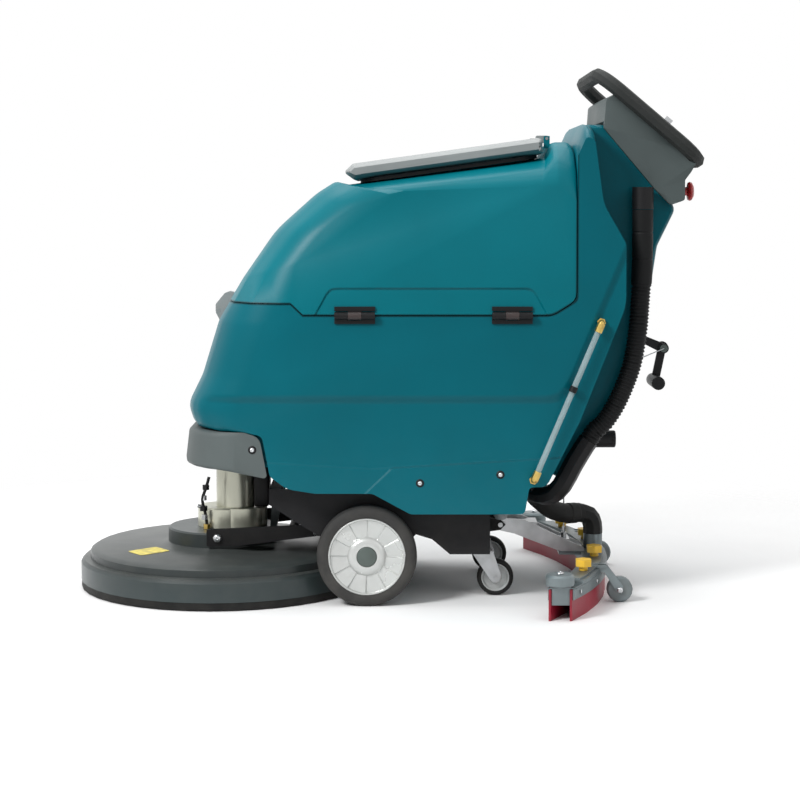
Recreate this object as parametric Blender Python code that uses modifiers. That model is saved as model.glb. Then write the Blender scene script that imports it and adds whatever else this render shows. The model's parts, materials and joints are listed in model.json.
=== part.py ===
"""Walk-behind floor scrubber: brush deck in front, two tanks on a wheeled frame, and a
squeegee and an operator's console at the back.

Run with: blender --background --python part.py
Units are metres. -X is the front, +X is the operator's end, +Z is up and the floor is Z = 0.
"""

import math

import bmesh
import bpy
from mathutils import Matrix, Vector

# ---------------------------------------------------------------- driving dimensions

GAP = 0.0003            # clearance between two pieces that touch
SLIP = 0.0006           # clearance of a turning or sliding fit

# main wheels
WHEEL_X = -0.0385
WHEEL_RADIUS = 0.100
WHEEL_WIDTH = 0.040
WHEEL_Y = 0.231         # middle of a wheel, out from the centre line
RIM_RADIUS = 0.077
RIM_DISH = 0.007        # depth of the hollow in the rim's outer face
AXLE_RADIUS = 0.010
HUB_CAP_RADIUS = 0.020

# casters
CASTER_X = 0.196        # swivel axis
CASTER_Y = 0.130
CASTER_TRAIL = 0.0265
CASTER_RADIUS = 0.0375
CASTER_WIDTH = 0.024
CASTER_TOP = 0.0955     # underside of the plate that the caster is bolted to

# frame
FRAME_HALF_WIDTH = 0.197
FRAME_PLATE = 0.004
FRAME_FRONT = -0.236
FRAME_REAR = 0.209
CASTER_PLATE = 0.006

# tanks
BODY_HALF_WIDTH = 0.260
TANK_WALL = 0.006
TANK_FLOOR = 0.228      # underside over the main wheels
TANK_FLOOR_REAR = 0.187  # underside behind the main wheels
SEAM_Z = 0.581          # level of the joint between the two tanks
SEAM_FRONT_Z = 0.604
SEAM_FRONT_X = -0.318
SEAM_REAR_X = 0.376     # upright part of the joint, in front of the column
TANK_TOP_Z = 0.925
COLUMN_TOP_Z = 0.964

# battery well
WELL_FRONT = -0.215
WELL_REAR = 0.290
WELL_HALF_WIDTH = 0.190
WELL_FLOOR = 0.262
BATTERY_LENGTH = 0.240
BATTERY_WIDTH = 0.345
BATTERY_HEIGHT = 0.235

# brush deck
DECK_X = -0.3465
DECK_RADIUS = 0.297
DECK_EDGE_TOP = 0.062   # top of the broad lower tier
DECK_TOP = 0.083        # top of the upper tier
DECK_TIER_RADIUS = 0.277
DECK_HUB_RADIUS = 0.115
DECK_HUB_TOP = 0.122
BRUSH_RADIUS = 0.258
MOTOR_X = -0.3205
MOTOR_RADIUS = 0.0400
MOTOR_TOP = 0.300
ARM_REAR = (-0.1435, 0.130)     # lower pivot on the frame, X and Z
ARM_FRONT = (-0.3475, 0.1150)   # lower pivot on the deck
LINK_OFFSET = (0.1160, 0.0560)  # from each lower pivot to its upper pivot
ARM_Y = DECK_HUB_RADIUS + 0.0042   # middle of a lower arm

# squeegee
SQUEEGEE_HALF_WIDTH = 0.375
SQUEEGEE_REAR_X = 0.4615        # rear face at the centre line
SQUEEGEE_SWEEP = 0.098          # how far the ends lie ahead of the middle
SQUEEGEE_TOP = 0.074
BLADE_THICKNESS = 0.004
HITCH = (0.2380, 0.128)         # pivot of the squeegee arm on the frame, X and Z
LEVER_PIVOT = (0.581, 0.497)
COLUMN_SLOPE = ((0.4400, COLUMN_TOP_Z - 0.004), (0.5640, 0.8250))  # face under the console
DRAIN_CAP_X = 0.4365
DRAIN_Y = -0.030
DRAIN_NECK = 0.0125
DRAIN_NECK_REACH = 0.0200
CABLE_TOP_Z = 0.2540
PORT_TOP = 0.104
HOSE_RADIUS = 0.0190
LOWER_HOSE_RADIUS = 0.0205

# inside of the column and the filler
COLUMN_INNER = 0.168    # half width of the column behind the hose recess
BAY_HALF_WIDTH = 0.120  # dry bay of the vacuum motor
BAY_FLOOR = 0.640
BAY_REAR = 0.522
RECESS_X = -0.2300      # rear wall of the recess that the brush motor stands in
RECESS_TOP = 0.352
FILLER_X = -0.268
FILLER_RADIUS = 0.030

# lid and console
LID_FRONT_X = -0.086
LID_REAR_X = 0.3145
LID_THICKNESS = 0.034
CONSOLE_HALF_WIDTH = 0.1845
HANDLE_TUBE = 0.0150

# Joint between the tanks
SEAM_GAP = 0.0016       # open joint between the upper and the lower tank
SHOULDER_Y = 0.130      # width of the rounded shoulder of both tanks
NOSE_SIDE = 0.104       # how far the flat side starts behind the nose

# Recovery lid and tank hinges
LID_SLOPE = math.atan2(0.052, 0.375)
LID_HALF_WIDTH = 0.200
LID_PIVOT = (LID_REAR_X + 0.0125, TANK_TOP_Z + 0.0085)
RIM_HEIGHT = 0.007
HINGE_X = (-0.0615, 0.2485)     # middles of the two tank hinges
HINGE_WIDTH = 0.080
HINGE_AXIS_Y = -(BODY_HALF_WIDTH + 0.0085)
KNUCKLE_RADIUS = 0.0075
PIN_RADIUS = 0.0030

# Opening under the lid
OPENING_FRONT = 0.010
OPENING_REAR = 0.260
OPENING_HALF_WIDTH = 0.125
LUG_Y = 0.100

# Latch at the nose
LATCH_PIVOT = (-0.3520, 0.5760)
LATCH_HALF_WIDTH = 0.013

# Frame, forks and pivots
CROSS_Z = 0.2100        # underside of the frame's cross members
HUB_SPACER = 0.0060     # bearing boss standing out of the side plate
LUG_INSET = 0.100       # lugs of the lower lift arm, out from the centre line
PIVOT_PIN = 0.0050
STEM_RADIUS = 0.0060

# Front bumper
BUMPER_WALL = 0.004
BUMPER_GAP = 0.0018

# Deck, skirt and brush
ROUND_SIDES = 40         # sides of the deck and its skirt
SKIRT_TOP = 0.0170
SKIRT_FOOT = 0.0020
BRUSH_BORE = 0.0090
BRUSH_TOP = 0.0480
GEARBOX_TOP = 0.1640
GEARBOX_X = -0.3060
GEARBOX_RADIUS = 0.0530

# Lift arms
ARM_THICKNESS = 0.006
LINK_PLAY = 0.0005      # play of the link's front pivot

# Squeegee
KNOBS = ((0.100, "inner"), (0.250, "outer"))
KNOB_RADIUS = 0.0170
SQUEEGEE_DEPTH = 0.052
SQUEEGEE_FOOT = 0.030
PORT_RADIUS = 0.0200
SUPPORT_Y = 0.200
SUPPORT_RADIUS = 0.026
SUPPORT_REACH = 0.036
ROLLER_Y = 0.3620
ROLLER_RADIUS = 0.0280
ROLLER_BACK = 0.0340
ROLLER_HEIGHT = 0.0240
STEP_TOP = 0.0640       # level of the ends of the body, under the rollers
STEP_HALF = 0.0480
BLADE_TOP = 0.0610
SADDLE_TOP = 0.0705     # seat of the drawbar's foot

# Lift cable
CABLE_FOOT = (0.3740, 0.1060)   # X and Z of the lift cable on the drawbar

# Console, handle and controls
CONSOLE_FRONT = (0.4390, 1.0080)
CONSOLE_TOP = (0.4634, 1.0240)
CONSOLE_BACK = (0.6240, 0.8890)
CONSOLE_REAR_X = 0.5980
CONSOLE_WALL = 0.005
CONSOLE_INNER = COLUMN_INNER + 0.0012     # inside of the cheeks that lap the column
HANDLE_FRONT = (0.4255, 1.0580)
HANDLE_BACK = (0.6265, 0.8880)
HANDLE_HALF_WIDTH = 0.2005
HANDLE_CORNER = 0.055
STOP_Z = 0.8260
STOP_RADIUS = 0.0200
STOP_REACH = 0.0455       # from the console's rear face to the end of the head
PANEL_THICKNESS = 0.003
DIAL_RADIUS = 0.016

# Hoses, level tube, drain and filter
HOSE_Y = -0.200
HOSE_TOP = (0.5115, HOSE_Y, 0.7900)
HOSE_FOOT = (0.4055, HOSE_Y, 0.3270)
CUFF_WALL = 0.0025
OUTLET = (0.3130, -0.0720, 0.1900)
ELBOW_MOUTH = (0.4050, -0.0140, 0.1500)
LEVEL_TOP = (0.4235, 0.5680)
LEVEL_FOOT = (0.2915, 0.2560)
LEVEL_Y = -0.2760
LEVEL_RADIUS = 0.0060
DRAIN_Z = 0.3080
DRAIN_RADIUS = 0.0180
FILTER_AT = (0.2340, -0.1200)

# Squeegee lever
LEVER_END = (0.5665, 0.4260)
LEVER_GRIP_RADIUS = 0.0140
LEVER_GRIP_LENGTH = 0.090

# ---------------------------------------------------------------- scene and helpers

for old in list(bpy.data.objects):
    bpy.data.objects.remove(old, do_unlink=True)

parts = bpy.data.collections.new("floor_scrubber")
cutters = bpy.data.collections.new("cutters")
bpy.context.scene.collection.children.link(parts)
bpy.context.scene.collection.children.link(cutters)

X, Y, Z = Vector((1, 0, 0)), Vector((0, 1, 0)), Vector((0, 0, 1))


def material(name, rgb, roughness, metallic=0.0, alpha=1.0):
    """A Principled material. rgb is given as display values from 0 to 255."""
    made = bpy.data.materials.new(name)
    made.use_nodes = True
    shader = made.node_tree.nodes["Principled BSDF"]
    linear = [(c / 255) ** 2.2 for c in rgb]
    shader.inputs["Base Color"].default_value = (*linear, 1)
    shader.inputs["Roughness"].default_value = roughness
    shader.inputs["Metallic"].default_value = metallic
    shader.inputs["Alpha"].default_value = alpha
    return made


TEAL = material("teal_polyethylene", (14, 118, 126), 0.42)
LID_GREY = material("lid_grey", (150, 152, 150), 0.5)
BUMPER_GREY = material("bumper_grey", (112, 115, 118), 0.5)
CONSOLE_GREY = material("console_grey", (75, 82, 84), 0.45)
DECK_GREY = material("deck_grey", (74, 84, 88), 0.45)
FRAME_BLACK = material("frame_black", (30, 31, 32), 0.5, 0.3)
BLACK_PLASTIC = material("black_plastic", (26, 26, 27), 0.45)
RUBBER = material("black_rubber", (38, 38, 37), 0.8)
ZINC = material("zinc_steel", (190, 192, 190), 0.3, 0.9)
RIM_SILVER = material("rim_silver", (192, 194, 192), 0.35, 0.6)
MOTOR_SILVER = material("motor_silver", (165, 168, 160), 0.4, 0.7)
BRASS = material("brass", (190, 160, 90), 0.35, 0.9)
CLEAR = material("clear_tube", (205, 215, 215), 0.15, 0.0, 0.4)
YELLOW = material("yellow_plastic", (235, 190, 60), 0.4)
RED = material("red_plastic", (190, 30, 35), 0.35)
BLADE_RED = material("red_polyurethane", (150, 30, 50), 0.5)
SQUEEGEE_GREY = material("squeegee_grey", (95, 105, 108), 0.4, 0.4)
BRISTLE = material("bristle_nylon", (40, 60, 90), 0.8)
BATTERY_GREY = material("battery_case", (52, 54, 58), 0.5)


def place(obj, where, collection=parts):
    collection.objects.link(obj)
    obj.location = where
    return obj


def finish(obj, mat, angle=38):
    """Gives a mesh object its material and smooth shading up to the given angle."""
    obj.data.materials.clear()
    obj.data.materials.append(mat)
    obj.data.shade_smooth()
    obj.data.set_sharp_from_angle(angle=math.radians(angle))
    return obj


def from_bmesh(name, bm, mat, origin=(0, 0, 0)):
    mesh = bpy.data.meshes.new(name)
    bm.to_mesh(mesh)
    bm.free()
    return finish(place(bpy.data.objects.new(name, mesh), origin), mat)


def add_bevel(obj, width, segments=2, angle=40):
    bevel = obj.modifiers.new("bevel", "BEVEL")
    bevel.width = width
    bevel.segments = segments
    bevel.limit_method = "ANGLE"
    bevel.angle_limit = math.radians(angle)
    return obj


def box(name, mat, low, high, bevel=0.0, segments=2):
    """A box between two corners, with its origin in the middle."""
    low, high = Vector(low), Vector(high)
    bm = bmesh.new()
    bmesh.ops.create_cube(bm, size=1)
    bmesh.ops.scale(bm, vec=high - low, verts=bm.verts)
    obj = from_bmesh(name, bm, mat, (low + high) / 2)
    return add_bevel(obj, bevel, segments) if bevel else obj


def toward(axis):
    return Vector(axis).to_track_quat("Z", "Y").to_euler()


def cylinder(name, mat, middle, radius, length, axis=Z, sides=24, top_radius=None):
    """A cylinder or cone centred on a point, with its length along an axis."""
    bm = bmesh.new()
    bmesh.ops.create_cone(
        bm, cap_ends=True, segments=sides, radius1=radius,
        radius2=radius if top_radius is None else top_radius, depth=length,
    )
    obj = from_bmesh(name, bm, mat, middle)
    obj.rotation_euler = toward(axis)
    return obj


def turned(name, mat, profile, middle, axis=Z, sides=32, closed=False):
    """A turned piece. The profile is (radius, height) points down the outer side."""
    bm = bmesh.new()
    points = [bm.verts.new((r, 0, h)) for r, h in profile]
    for a, b in zip(points, points[1:]):
        bm.edges.new((a, b))
    if closed:
        bm.edges.new((points[-1], points[0]))
    obj = from_bmesh(name, bm, mat, middle)
    screw = obj.modifiers.new("turn", "SCREW")
    screw.steps = screw.render_steps = sides
    screw.use_merge_vertices = True
    screw.merge_threshold = 0.00005
    screw.use_smooth_shade = True
    obj.rotation_euler = toward(axis)
    return obj


def evaluated(obj):
    """Swaps an object for a mesh of its evaluated shape, welded and with no modifiers."""
    graph = bpy.context.evaluated_depsgraph_get()
    mesh = bpy.data.meshes.new_from_object(obj.evaluated_get(graph))
    bm = bmesh.new()
    bm.from_mesh(mesh)
    bmesh.ops.remove_doubles(bm, verts=bm.verts, dist=0.00002)
    bmesh.ops.recalc_face_normals(bm, faces=bm.faces)
    bm.to_mesh(mesh)
    bm.free()
    made = bpy.data.objects.new(obj.name, mesh)
    name, matrix, mat = obj.name, obj.matrix_world.copy(), obj.active_material
    bpy.data.objects.remove(obj, do_unlink=True)
    made.name = name
    parts.objects.link(made)
    made.matrix_world = matrix
    return finish(made, mat)


def plate(name, mat, outline, low, high, bevel=0.0, segments=2, upright=True):
    """A flat outline given a thickness: (x, z) between two y values, or (x, y) between two z."""
    curve = bpy.data.curves.new(name, "CURVE")
    curve.dimensions = "2D"
    curve.fill_mode = "BOTH"
    curve.extrude = (high - low) / 2
    spline = curve.splines.new("POLY")
    spline.points.add(len(outline) - 1)
    for point, (a, b) in zip(spline.points, outline):
        point.co = (a, b, 0, 1)
    spline.use_cyclic_u = True
    obj = place(bpy.data.objects.new(name, curve), (0, 0, 0))
    obj.data.materials.append(mat)
    middle = (low + high) / 2
    if upright:
        obj.rotation_euler = (math.radians(90), 0, 0)
        obj.location = (0, middle, 0)
    else:
        obj.location = (0, 0, middle)
    bpy.context.view_layer.update()
    obj = evaluated(obj)
    return add_bevel(obj, bevel, segments) if bevel else obj


def tube(name, mat, points, radius, bevel_resolution=2, cyclic=False):
    """A round bar or hose along a list of points."""
    curve = bpy.data.curves.new(name, "CURVE")
    curve.dimensions = "3D"
    curve.bevel_depth = radius
    curve.bevel_resolution = bevel_resolution
    curve.use_fill_caps = not cyclic
    spline = curve.splines.new("POLY")
    spline.points.add(len(points) - 1)
    for point, where in zip(spline.points, points):
        point.co = (*where, 1)
    spline.use_cyclic_u = cyclic
    obj = place(bpy.data.objects.new(name, curve), (0, 0, 0))
    obj.data.materials.append(mat)
    bpy.context.view_layer.update()
    return evaluated(obj)


def smooth_route(points, spacing):
    """Points at an even spacing on a smooth curve through the given ones."""
    points = [Vector(p) for p in points]
    ends = [2 * points[0] - points[1]] + points + [2 * points[-1] - points[-2]]
    fine = []
    for before, a, b, after in zip(ends, ends[1:], ends[2:], ends[3:]):
        for i in range(16):
            t = i / 16
            fine.append(0.5 * (
                2 * a + (b - before) * t + (2 * before - 5 * a + 4 * b - after) * t * t
                + (3 * a - before - 3 * b + after) * t ** 3
            ))
    fine.append(points[-1])
    walked = [0.0]
    for a, b in zip(fine, fine[1:]):
        walked.append(walked[-1] + (b - a).length)
    count = max(2, round(walked[-1] / spacing))
    route, i = [], 0
    for n in range(count + 1):
        goal = walked[-1] * n / count
        while i < len(fine) - 2 and walked[i + 1] < goal:
            i += 1
        step = (goal - walked[i]) / max(walked[i + 1] - walked[i], 1e-9)
        route.append(fine[i].lerp(fine[i + 1], step))
    return route


def boolean(obj, other, operation):
    """Joins or cuts with another piece, which becomes a hidden helper."""
    if other.name in parts.objects:
        parts.objects.unlink(other)
        cutters.objects.link(other)
    other.hide_render = True
    other.display_type = "WIRE"
    modifier = obj.modifiers.new(operation.lower(), "BOOLEAN")
    modifier.operation = operation
    modifier.object = other
    modifier.solver = "EXACT"
    return obj


def join(obj, *others):
    for other in others:
        boolean(obj, other, "UNION")
    return obj


def cut(obj, *others):
    for other in others:
        boolean(obj, other, "DIFFERENCE")
    return obj


# ---------------------------------------------------------------- outlines and lofts

def rounded(corners, segments=3):
    """An outline through corner points (a, b, radius), each corner an arc of its radius."""
    outline = []
    count = len(corners)
    for i, (a, b, radius) in enumerate(corners):
        here = Vector((a, b))
        if radius <= 0:
            outline.append((a, b))
            continue
        before = (Vector(corners[i - 1][:2]) - here)
        after = (Vector(corners[(i + 1) % count][:2]) - here)
        half = before.angle(after) / 2
        reach = min(radius / math.tan(half), 0.45 * before.length, 0.45 * after.length)
        first, last = here + before.normalized() * reach, here + after.normalized() * reach
        for n in range(segments + 1):
            t = n / segments
            weight = math.sin(half)
            top = (1 - t) ** 2 * first + 2 * t * (1 - t) * weight * here + t * t * last
            outline.append(tuple(top / ((1 - t) ** 2 + 2 * t * (1 - t) * weight + t * t)))
    return outline


def inset(outline, distance):
    """The outline moved inwards by a distance; the outline runs clockwise."""
    made = []
    count = len(outline)
    for i, (a, b) in enumerate(outline):
        here = Vector((a, b))
        back = (here - Vector(outline[i - 1])).normalized()
        ahead = (Vector(outline[(i + 1) % count]) - here).normalized()
        normal = (Vector((back.y, -back.x)) + Vector((ahead.y, -ahead.x))).normalized()
        share = max(normal.dot(Vector((back.y, -back.x))), 0.5)
        made.append(tuple(here + normal * distance / share))
    return made


def body_shell(name, mat, centre, side, half_width, shoulder, rings=3):
    """A closed body: one outline (x, z) in the middle, another on its flat sides, and a
    quarter-ellipse shoulder from the one to the other."""
    bm = bmesh.new()
    rows = []
    for sign in (-1, 1):
        for n in (range(rings, -1, -1) if sign < 0 else range(rings + 1)):
            angle = math.radians(90 * n / rings)
            y = sign * (half_width - shoulder + shoulder * math.sin(angle))
            mix = 1 - math.cos(angle)
            rows.append([
                bm.verts.new((cx + (sx - cx) * mix, y, cz + (sz - cz) * mix))
                for (cx, cz), (sx, sz) in zip(centre, side)
            ])
    for low, high in zip(rows, rows[1:]):
        for i in range(len(low)):
            bm.faces.new((low[i - 1], low[i], high[i], high[i - 1]))
    bm.faces.new(rows[0])
    bm.faces.new(list(reversed(rows[-1])))
    bmesh.ops.recalc_face_normals(bm, faces=bm.faces)
    return from_bmesh(name, bm, mat)


# ---------------------------------------------------------------- tanks


def seam(shift, nose):
    """The joint line from the column's top down to the nose, moved by a shift towards the
    upper tank. nose moves its front end back."""
    return [
        (SEAM_REAR_X - shift, TANK_TOP_Z, 0),
        (SEAM_REAR_X - shift, SEAM_Z + shift + 0.030, 0.030),
        (SEAM_REAR_X - 0.048, SEAM_Z + shift, 0.030),
        (-0.1640, SEAM_Z + shift, 0.008),
        (-0.1880, SEAM_FRONT_Z + shift, 0.008),
        (SEAM_FRONT_X + nose, SEAM_FRONT_Z + shift, 0),
    ]


def lower_outline(nose, drop):
    """The lower tank's outline, clockwise from its nose. drop lowers the column's top."""
    shift = -SEAM_GAP / 2
    front = [
        (-0.1960, TANK_FLOOR + 0.009, 0.05),
        (RECESS_X, TANK_FLOOR + 0.034, 0.015),
        (RECESS_X - 0.0150, RECESS_TOP - 0.010, 0.015),
        (-0.3900 + nose, RECESS_TOP, 0.02),
        (-0.4040 + nose, RECESS_TOP + 0.042, 0.04),
        (-0.3740 + nose, 0.455, 0.10),
        (-0.3400 + nose, 0.566, 0.06),
    ]
    rear = [
        (SEAM_REAR_X + 0.018, COLUMN_TOP_Z - drop, 0.012),
        (SEAM_REAR_X + 0.034, COLUMN_TOP_Z - 0.008 - drop, 0.012),
        (0.4277, 0.800, 0.08),
        (0.4725, 0.722, 0.03),
        (0.4725, 0.600, 0.10),
        (0.3830, 0.372, 0.15),
        (0.3170, 0.241, 0.02),
        (0.2835, 0.241, 0.008),
        (0.2745, TANK_FLOOR_REAR, 0.010),
        (0.0485, TANK_FLOOR_REAR, 0.020),
        (-0.0270, TANK_FLOOR, 0.020),
        (-0.1400, TANK_FLOOR, 0.05),
    ]
    joint = seam(shift, nose)
    joint[0] = (joint[0][0], joint[0][1] - drop, 0)
    return rounded(list(reversed(joint)) + rear + front)


def upper_outline():
    """The upper tank's outline in the middle, clockwise from its nose."""
    joint = seam(SEAM_GAP / 2, 0)
    top = [
        (-0.2900, 0.652, 0.10),
        (-0.2235, 0.748, 0.20),
        (-0.1420, 0.821, 0.15),
        (-0.1010, 0.847, 0.02),
        (-0.0810, lid_line(-0.0810, -RIM_HEIGHT), 0.006),
        (LID_REAR_X + 0.006, lid_line(LID_REAR_X, -RIM_HEIGHT), 0.006),
        (LID_REAR_X + 0.020, TANK_TOP_Z, 0.012),
        (joint[0][0], TANK_TOP_Z, 0.014),
    ]
    return rounded([joint[-1]] + top + joint[1:-1])


def upper_side():
    """The edge of the upper tank's flat side, corner for corner with its outline."""
    joint = seam(SEAM_GAP / 2, NOSE_SIDE)
    top = [
        (-0.1720, 0.690, 0.10),
        (-0.1120, 0.762, 0.20),
        (-0.0450, 0.803, 0.15),
        (0.0050, 0.8200, 0.02),
        (0.0350, 0.8260, 0.006),
        (LID_REAR_X - 0.010, 0.836, 0.006),
        (LID_REAR_X + 0.025, 0.838, 0.012),
        (joint[0][0], 0.806, 0.014),
    ]
    return rounded([joint[-1]] + top + joint[1:-1])


def column(name, grow):
    """The rear column that holds the console, grown all round for a clearance."""
    spine = rounded([
        (SEAM_REAR_X + 0.016, COLUMN_TOP_Z - 0.004, 0.014), (*COLUMN_SLOPE[0], 0.020),
        (*COLUMN_SLOPE[1], 0.020), (0.5840, 0.7900, 0.020), (0.5475, 0.7150, 0.04),
        (0.5380, 0.6500, 0.08), (0.5150, 0.5250, 0.15), (0.4240, 0.3150, 0.10),
        (0.4000, 0.2600, 0.03), (0.3335, 0.2350, 0.03), (0.3100, 0.3200, 0.03),
        (SEAM_REAR_X + 0.016, 0.5000, 0.05),
    ])
    side = inset(spine, 0.008)
    if grow:
        spine, side = inset(spine, -grow), inset(side, -grow)
    return body_shell(name, TEAL, spine, side, COLUMN_INNER + grow, 0.03, 3)


def solution_tank():
    """The lower tank: a hollow water jacket round the battery well, with the rear column."""
    centre, side = lower_outline(0, 0), lower_outline(NOSE_SIDE, 0.030)
    tank = body_shell("solution_tank", TEAL, centre, side, BODY_HALF_WIDTH, SHOULDER_Y)
    back = column("column", 0)
    join(tank, back)
    wall = TANK_WALL
    water = body_shell(
        "water_space", TEAL, inset(centre, wall), inset(side, wall),
        BODY_HALF_WIDTH - wall, SHOULDER_Y - wall, 2,
    )
    well_low = Vector((WELL_FRONT, -WELL_HALF_WIDTH, WELL_FLOOR))
    well_high = Vector((WELL_REAR, WELL_HALF_WIDTH, SEAM_Z + 0.1))
    grow = Vector((wall, wall, wall))
    cut(
        water,
        box("well_wall", TEAL, well_low - grow, well_high + grow),
        box("dry_column", TEAL, (SEAM_REAR_X - 0.06, -1, SEAM_Z - wall), (1, 1, 2)),
    )
    motor_bay = box(
        "motor_bay", TEAL, (SEAM_REAR_X + 0.020, -BAY_HALF_WIDTH, BAY_FLOOR),
        (BAY_REAR, BAY_HALF_WIDTH, COLUMN_TOP_Z + 0.1), 0.01,
    )
    filler = cylinder("filler_hole", TEAL, (FILLER_X, 0, SEAM_FRONT_Z), FILLER_RADIUS, 0.06)
    neck_end = DRAIN_CAP_X + DRAIN_NECK_REACH
    join(tank, cylinder("drain_neck", TEAL, ((0.4000 + neck_end) / 2, DRAIN_Y, DRAIN_Z), DRAIN_NECK,
                        neck_end - 0.4000, X, 24))
    cable_x = CABLE_FOOT[0]
    cable_hole = cylinder("cable_hole", TEAL, (cable_x, 0, CABLE_TOP_Z), 0.0040, 0.030, Z, 12)
    cut(tank, water, box("well", TEAL, well_low, well_high), motor_bay, filler, cable_hole)
    return evaluated_in_place(tank)


def evaluated_in_place(obj):
    """Applies an object's Booleans, so that later pieces can be measured against it."""
    bpy.context.view_layer.update()
    return evaluated(obj)


def lid_line(x, lift=0.0):
    """Height of the plane that the lid rests on."""
    return 0.8450 + (x - LID_FRONT_X) * math.tan(LID_SLOPE) + lift


def recovery_tank():
    """The upper tank, hollow, with an opening, a rim and hinge lugs under the lid."""
    centre, side = upper_outline(), upper_side()
    tank = body_shell("recovery_tank", TEAL, centre, side, BODY_HALF_WIDTH, SHOULDER_Y)
    wall = TANK_WALL
    space = body_shell(
        "recovery_space", TEAL, inset(centre, wall), inset(side, wall),
        BODY_HALF_WIDTH - wall, SHOULDER_Y - wall, 3,
    )
    low, high = OPENING_FRONT - 0.014, OPENING_REAR + 0.014
    rim = plate("rim", TEAL, [
        (low, lid_line(low, -0.030)), (low, lid_line(low, -GAP)),
        (high, lid_line(high, -GAP)), (high, lid_line(high, -0.030)),
    ], -OPENING_HALF_WIDTH - 0.014, OPENING_HALF_WIDTH + 0.014)
    mouth = plate("mouth", TEAL, [
        (OPENING_FRONT, lid_line(OPENING_FRONT, -0.060)),
        (OPENING_FRONT, lid_line(OPENING_FRONT, 0.050)),
        (OPENING_REAR, lid_line(OPENING_REAR, 0.050)),
        (OPENING_REAR, lid_line(OPENING_REAR, -0.060)),
    ], -OPENING_HALF_WIDTH, OPENING_HALF_WIDTH)
    x, z = LID_PIVOT
    for sign in (-1, 1):
        lug = box("lug", TEAL, (x - 0.006, sign * LUG_Y - 0.004, TANK_TOP_Z - 0.012),
                  (x + 0.006, sign * LUG_Y + 0.004, z + 0.005))
        join(tank, lug)
    join(tank, rim)
    pin_hole = cylinder("pin_hole", TEAL, (x, 0, z), PIN_RADIUS + GAP, 0.5, Y, 16)
    cut(tank, space, mouth, pin_hole)
    return evaluated_in_place(tank)


def recovery_lid():
    """The hinged grey lid, a shallow shell that rests on the rim."""
    foot, head = LID_FRONT_X + 0.022, LID_REAR_X
    corners = [
        (foot, lid_line(foot), 0.006),
        (LID_FRONT_X, lid_line(LID_FRONT_X, 0.019), 0.006),
        (LID_FRONT_X + 0.018, lid_line(LID_FRONT_X + 0.018, LID_THICKNESS), 0.012),
        (head, lid_line(head, LID_THICKNESS), 0.010),
        (head, lid_line(head), 0.004),
    ]
    centre = rounded(corners)
    side = inset(centre, 0.010)
    lid = body_shell("recovery_lid", LID_GREY, centre, side, LID_HALF_WIDTH, 0.050, 3)
    hollow = plate("lid_hollow", LID_GREY, [
        (foot + 0.020, lid_line(foot + 0.020, -0.02)),
        (foot + 0.020, lid_line(foot + 0.020, LID_THICKNESS - 0.012)),
        (OPENING_REAR, lid_line(OPENING_REAR, LID_THICKNESS - 0.012)),
        (OPENING_REAR, lid_line(OPENING_REAR, -0.02)),
    ], -OPENING_HALF_WIDTH, OPENING_HALF_WIDTH)
    x, z = LID_PIVOT
    for sign in (-1, 1):
        inner = sign * (LUG_Y - 0.0095)
        ear = plate("ear", LID_GREY, rounded([
            (x - 0.022, z - 0.013, 0), (x - 0.022, z + 0.006, 0.003),
            (x + 0.006, z + 0.006, 0.005), (x + 0.006, z - 0.006, 0.005),
        ]), inner - 0.005, inner + 0.005)
        join(lid, ear)
    cut(lid, hollow)
    join(lid, cylinder("pin", LID_GREY, (x, 0, z), PIN_RADIUS, 2 * LUG_Y + 0.010, Y, 16))
    return evaluated_in_place(lid)


def tank_hinge(number, x):
    """One tank hinge: a leaf on the lower tank with two knuckles, and a leaf on the upper
    tank with the middle knuckle and the pin through all three."""
    third = HINGE_WIDTH / 3
    wall = -(BODY_HALF_WIDTH + GAP)
    axis = (HINGE_AXIS_Y, SEAM_Z)
    low = box(f"tank_hinge_{number}_lower", BLACK_PLASTIC,
              (x - HINGE_WIDTH / 2, wall - 0.0035, SEAM_Z - 0.0160),
              (x + HINGE_WIDTH / 2, wall, SEAM_Z - 0.0030))
    high = box(f"tank_hinge_{number}_upper", BLACK_PLASTIC,
               (x - HINGE_WIDTH / 2, wall - 0.0035, SEAM_Z + 0.0030),
               (x + HINGE_WIDTH / 2, wall, SEAM_Z + 0.0180))
    for side in (-1, 1):
        middle = (x + side * third, *axis)
        join(low, cylinder("knuckle", BLACK_PLASTIC, middle, KNUCKLE_RADIUS, third - SLIP, X, 16))
        notch = box("notch", BLACK_PLASTIC,
                    (middle[0] - third / 2 - 0.001, wall - 0.02, SEAM_Z + 0.0020),
                    (middle[0] + third / 2, wall + 0.01, SEAM_Z + KNUCKLE_RADIUS + 0.002))
        if side > 0:
            notch.location.x += 0.001
        cut(high, notch)
    join(high, cylinder("knuckle", BLACK_PLASTIC, (x, *axis), KNUCKLE_RADIUS, third - SLIP, X, 16))
    middle_notch = box("notch", BLACK_PLASTIC,
                       (x - third / 2, wall - 0.02, SEAM_Z - KNUCKLE_RADIUS - 0.002),
                       (x + third / 2, wall + 0.01, SEAM_Z))
    cut(low, middle_notch)
    cut(low, cylinder("bore", BLACK_PLASTIC, (x, *axis), PIN_RADIUS + GAP, 0.2, X, 16))
    join(high, cylinder("pin", BLACK_PLASTIC, (x, *axis), PIN_RADIUS, HINGE_WIDTH, X, 16))
    evaluated_in_place(low)
    evaluated_in_place(high)


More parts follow.
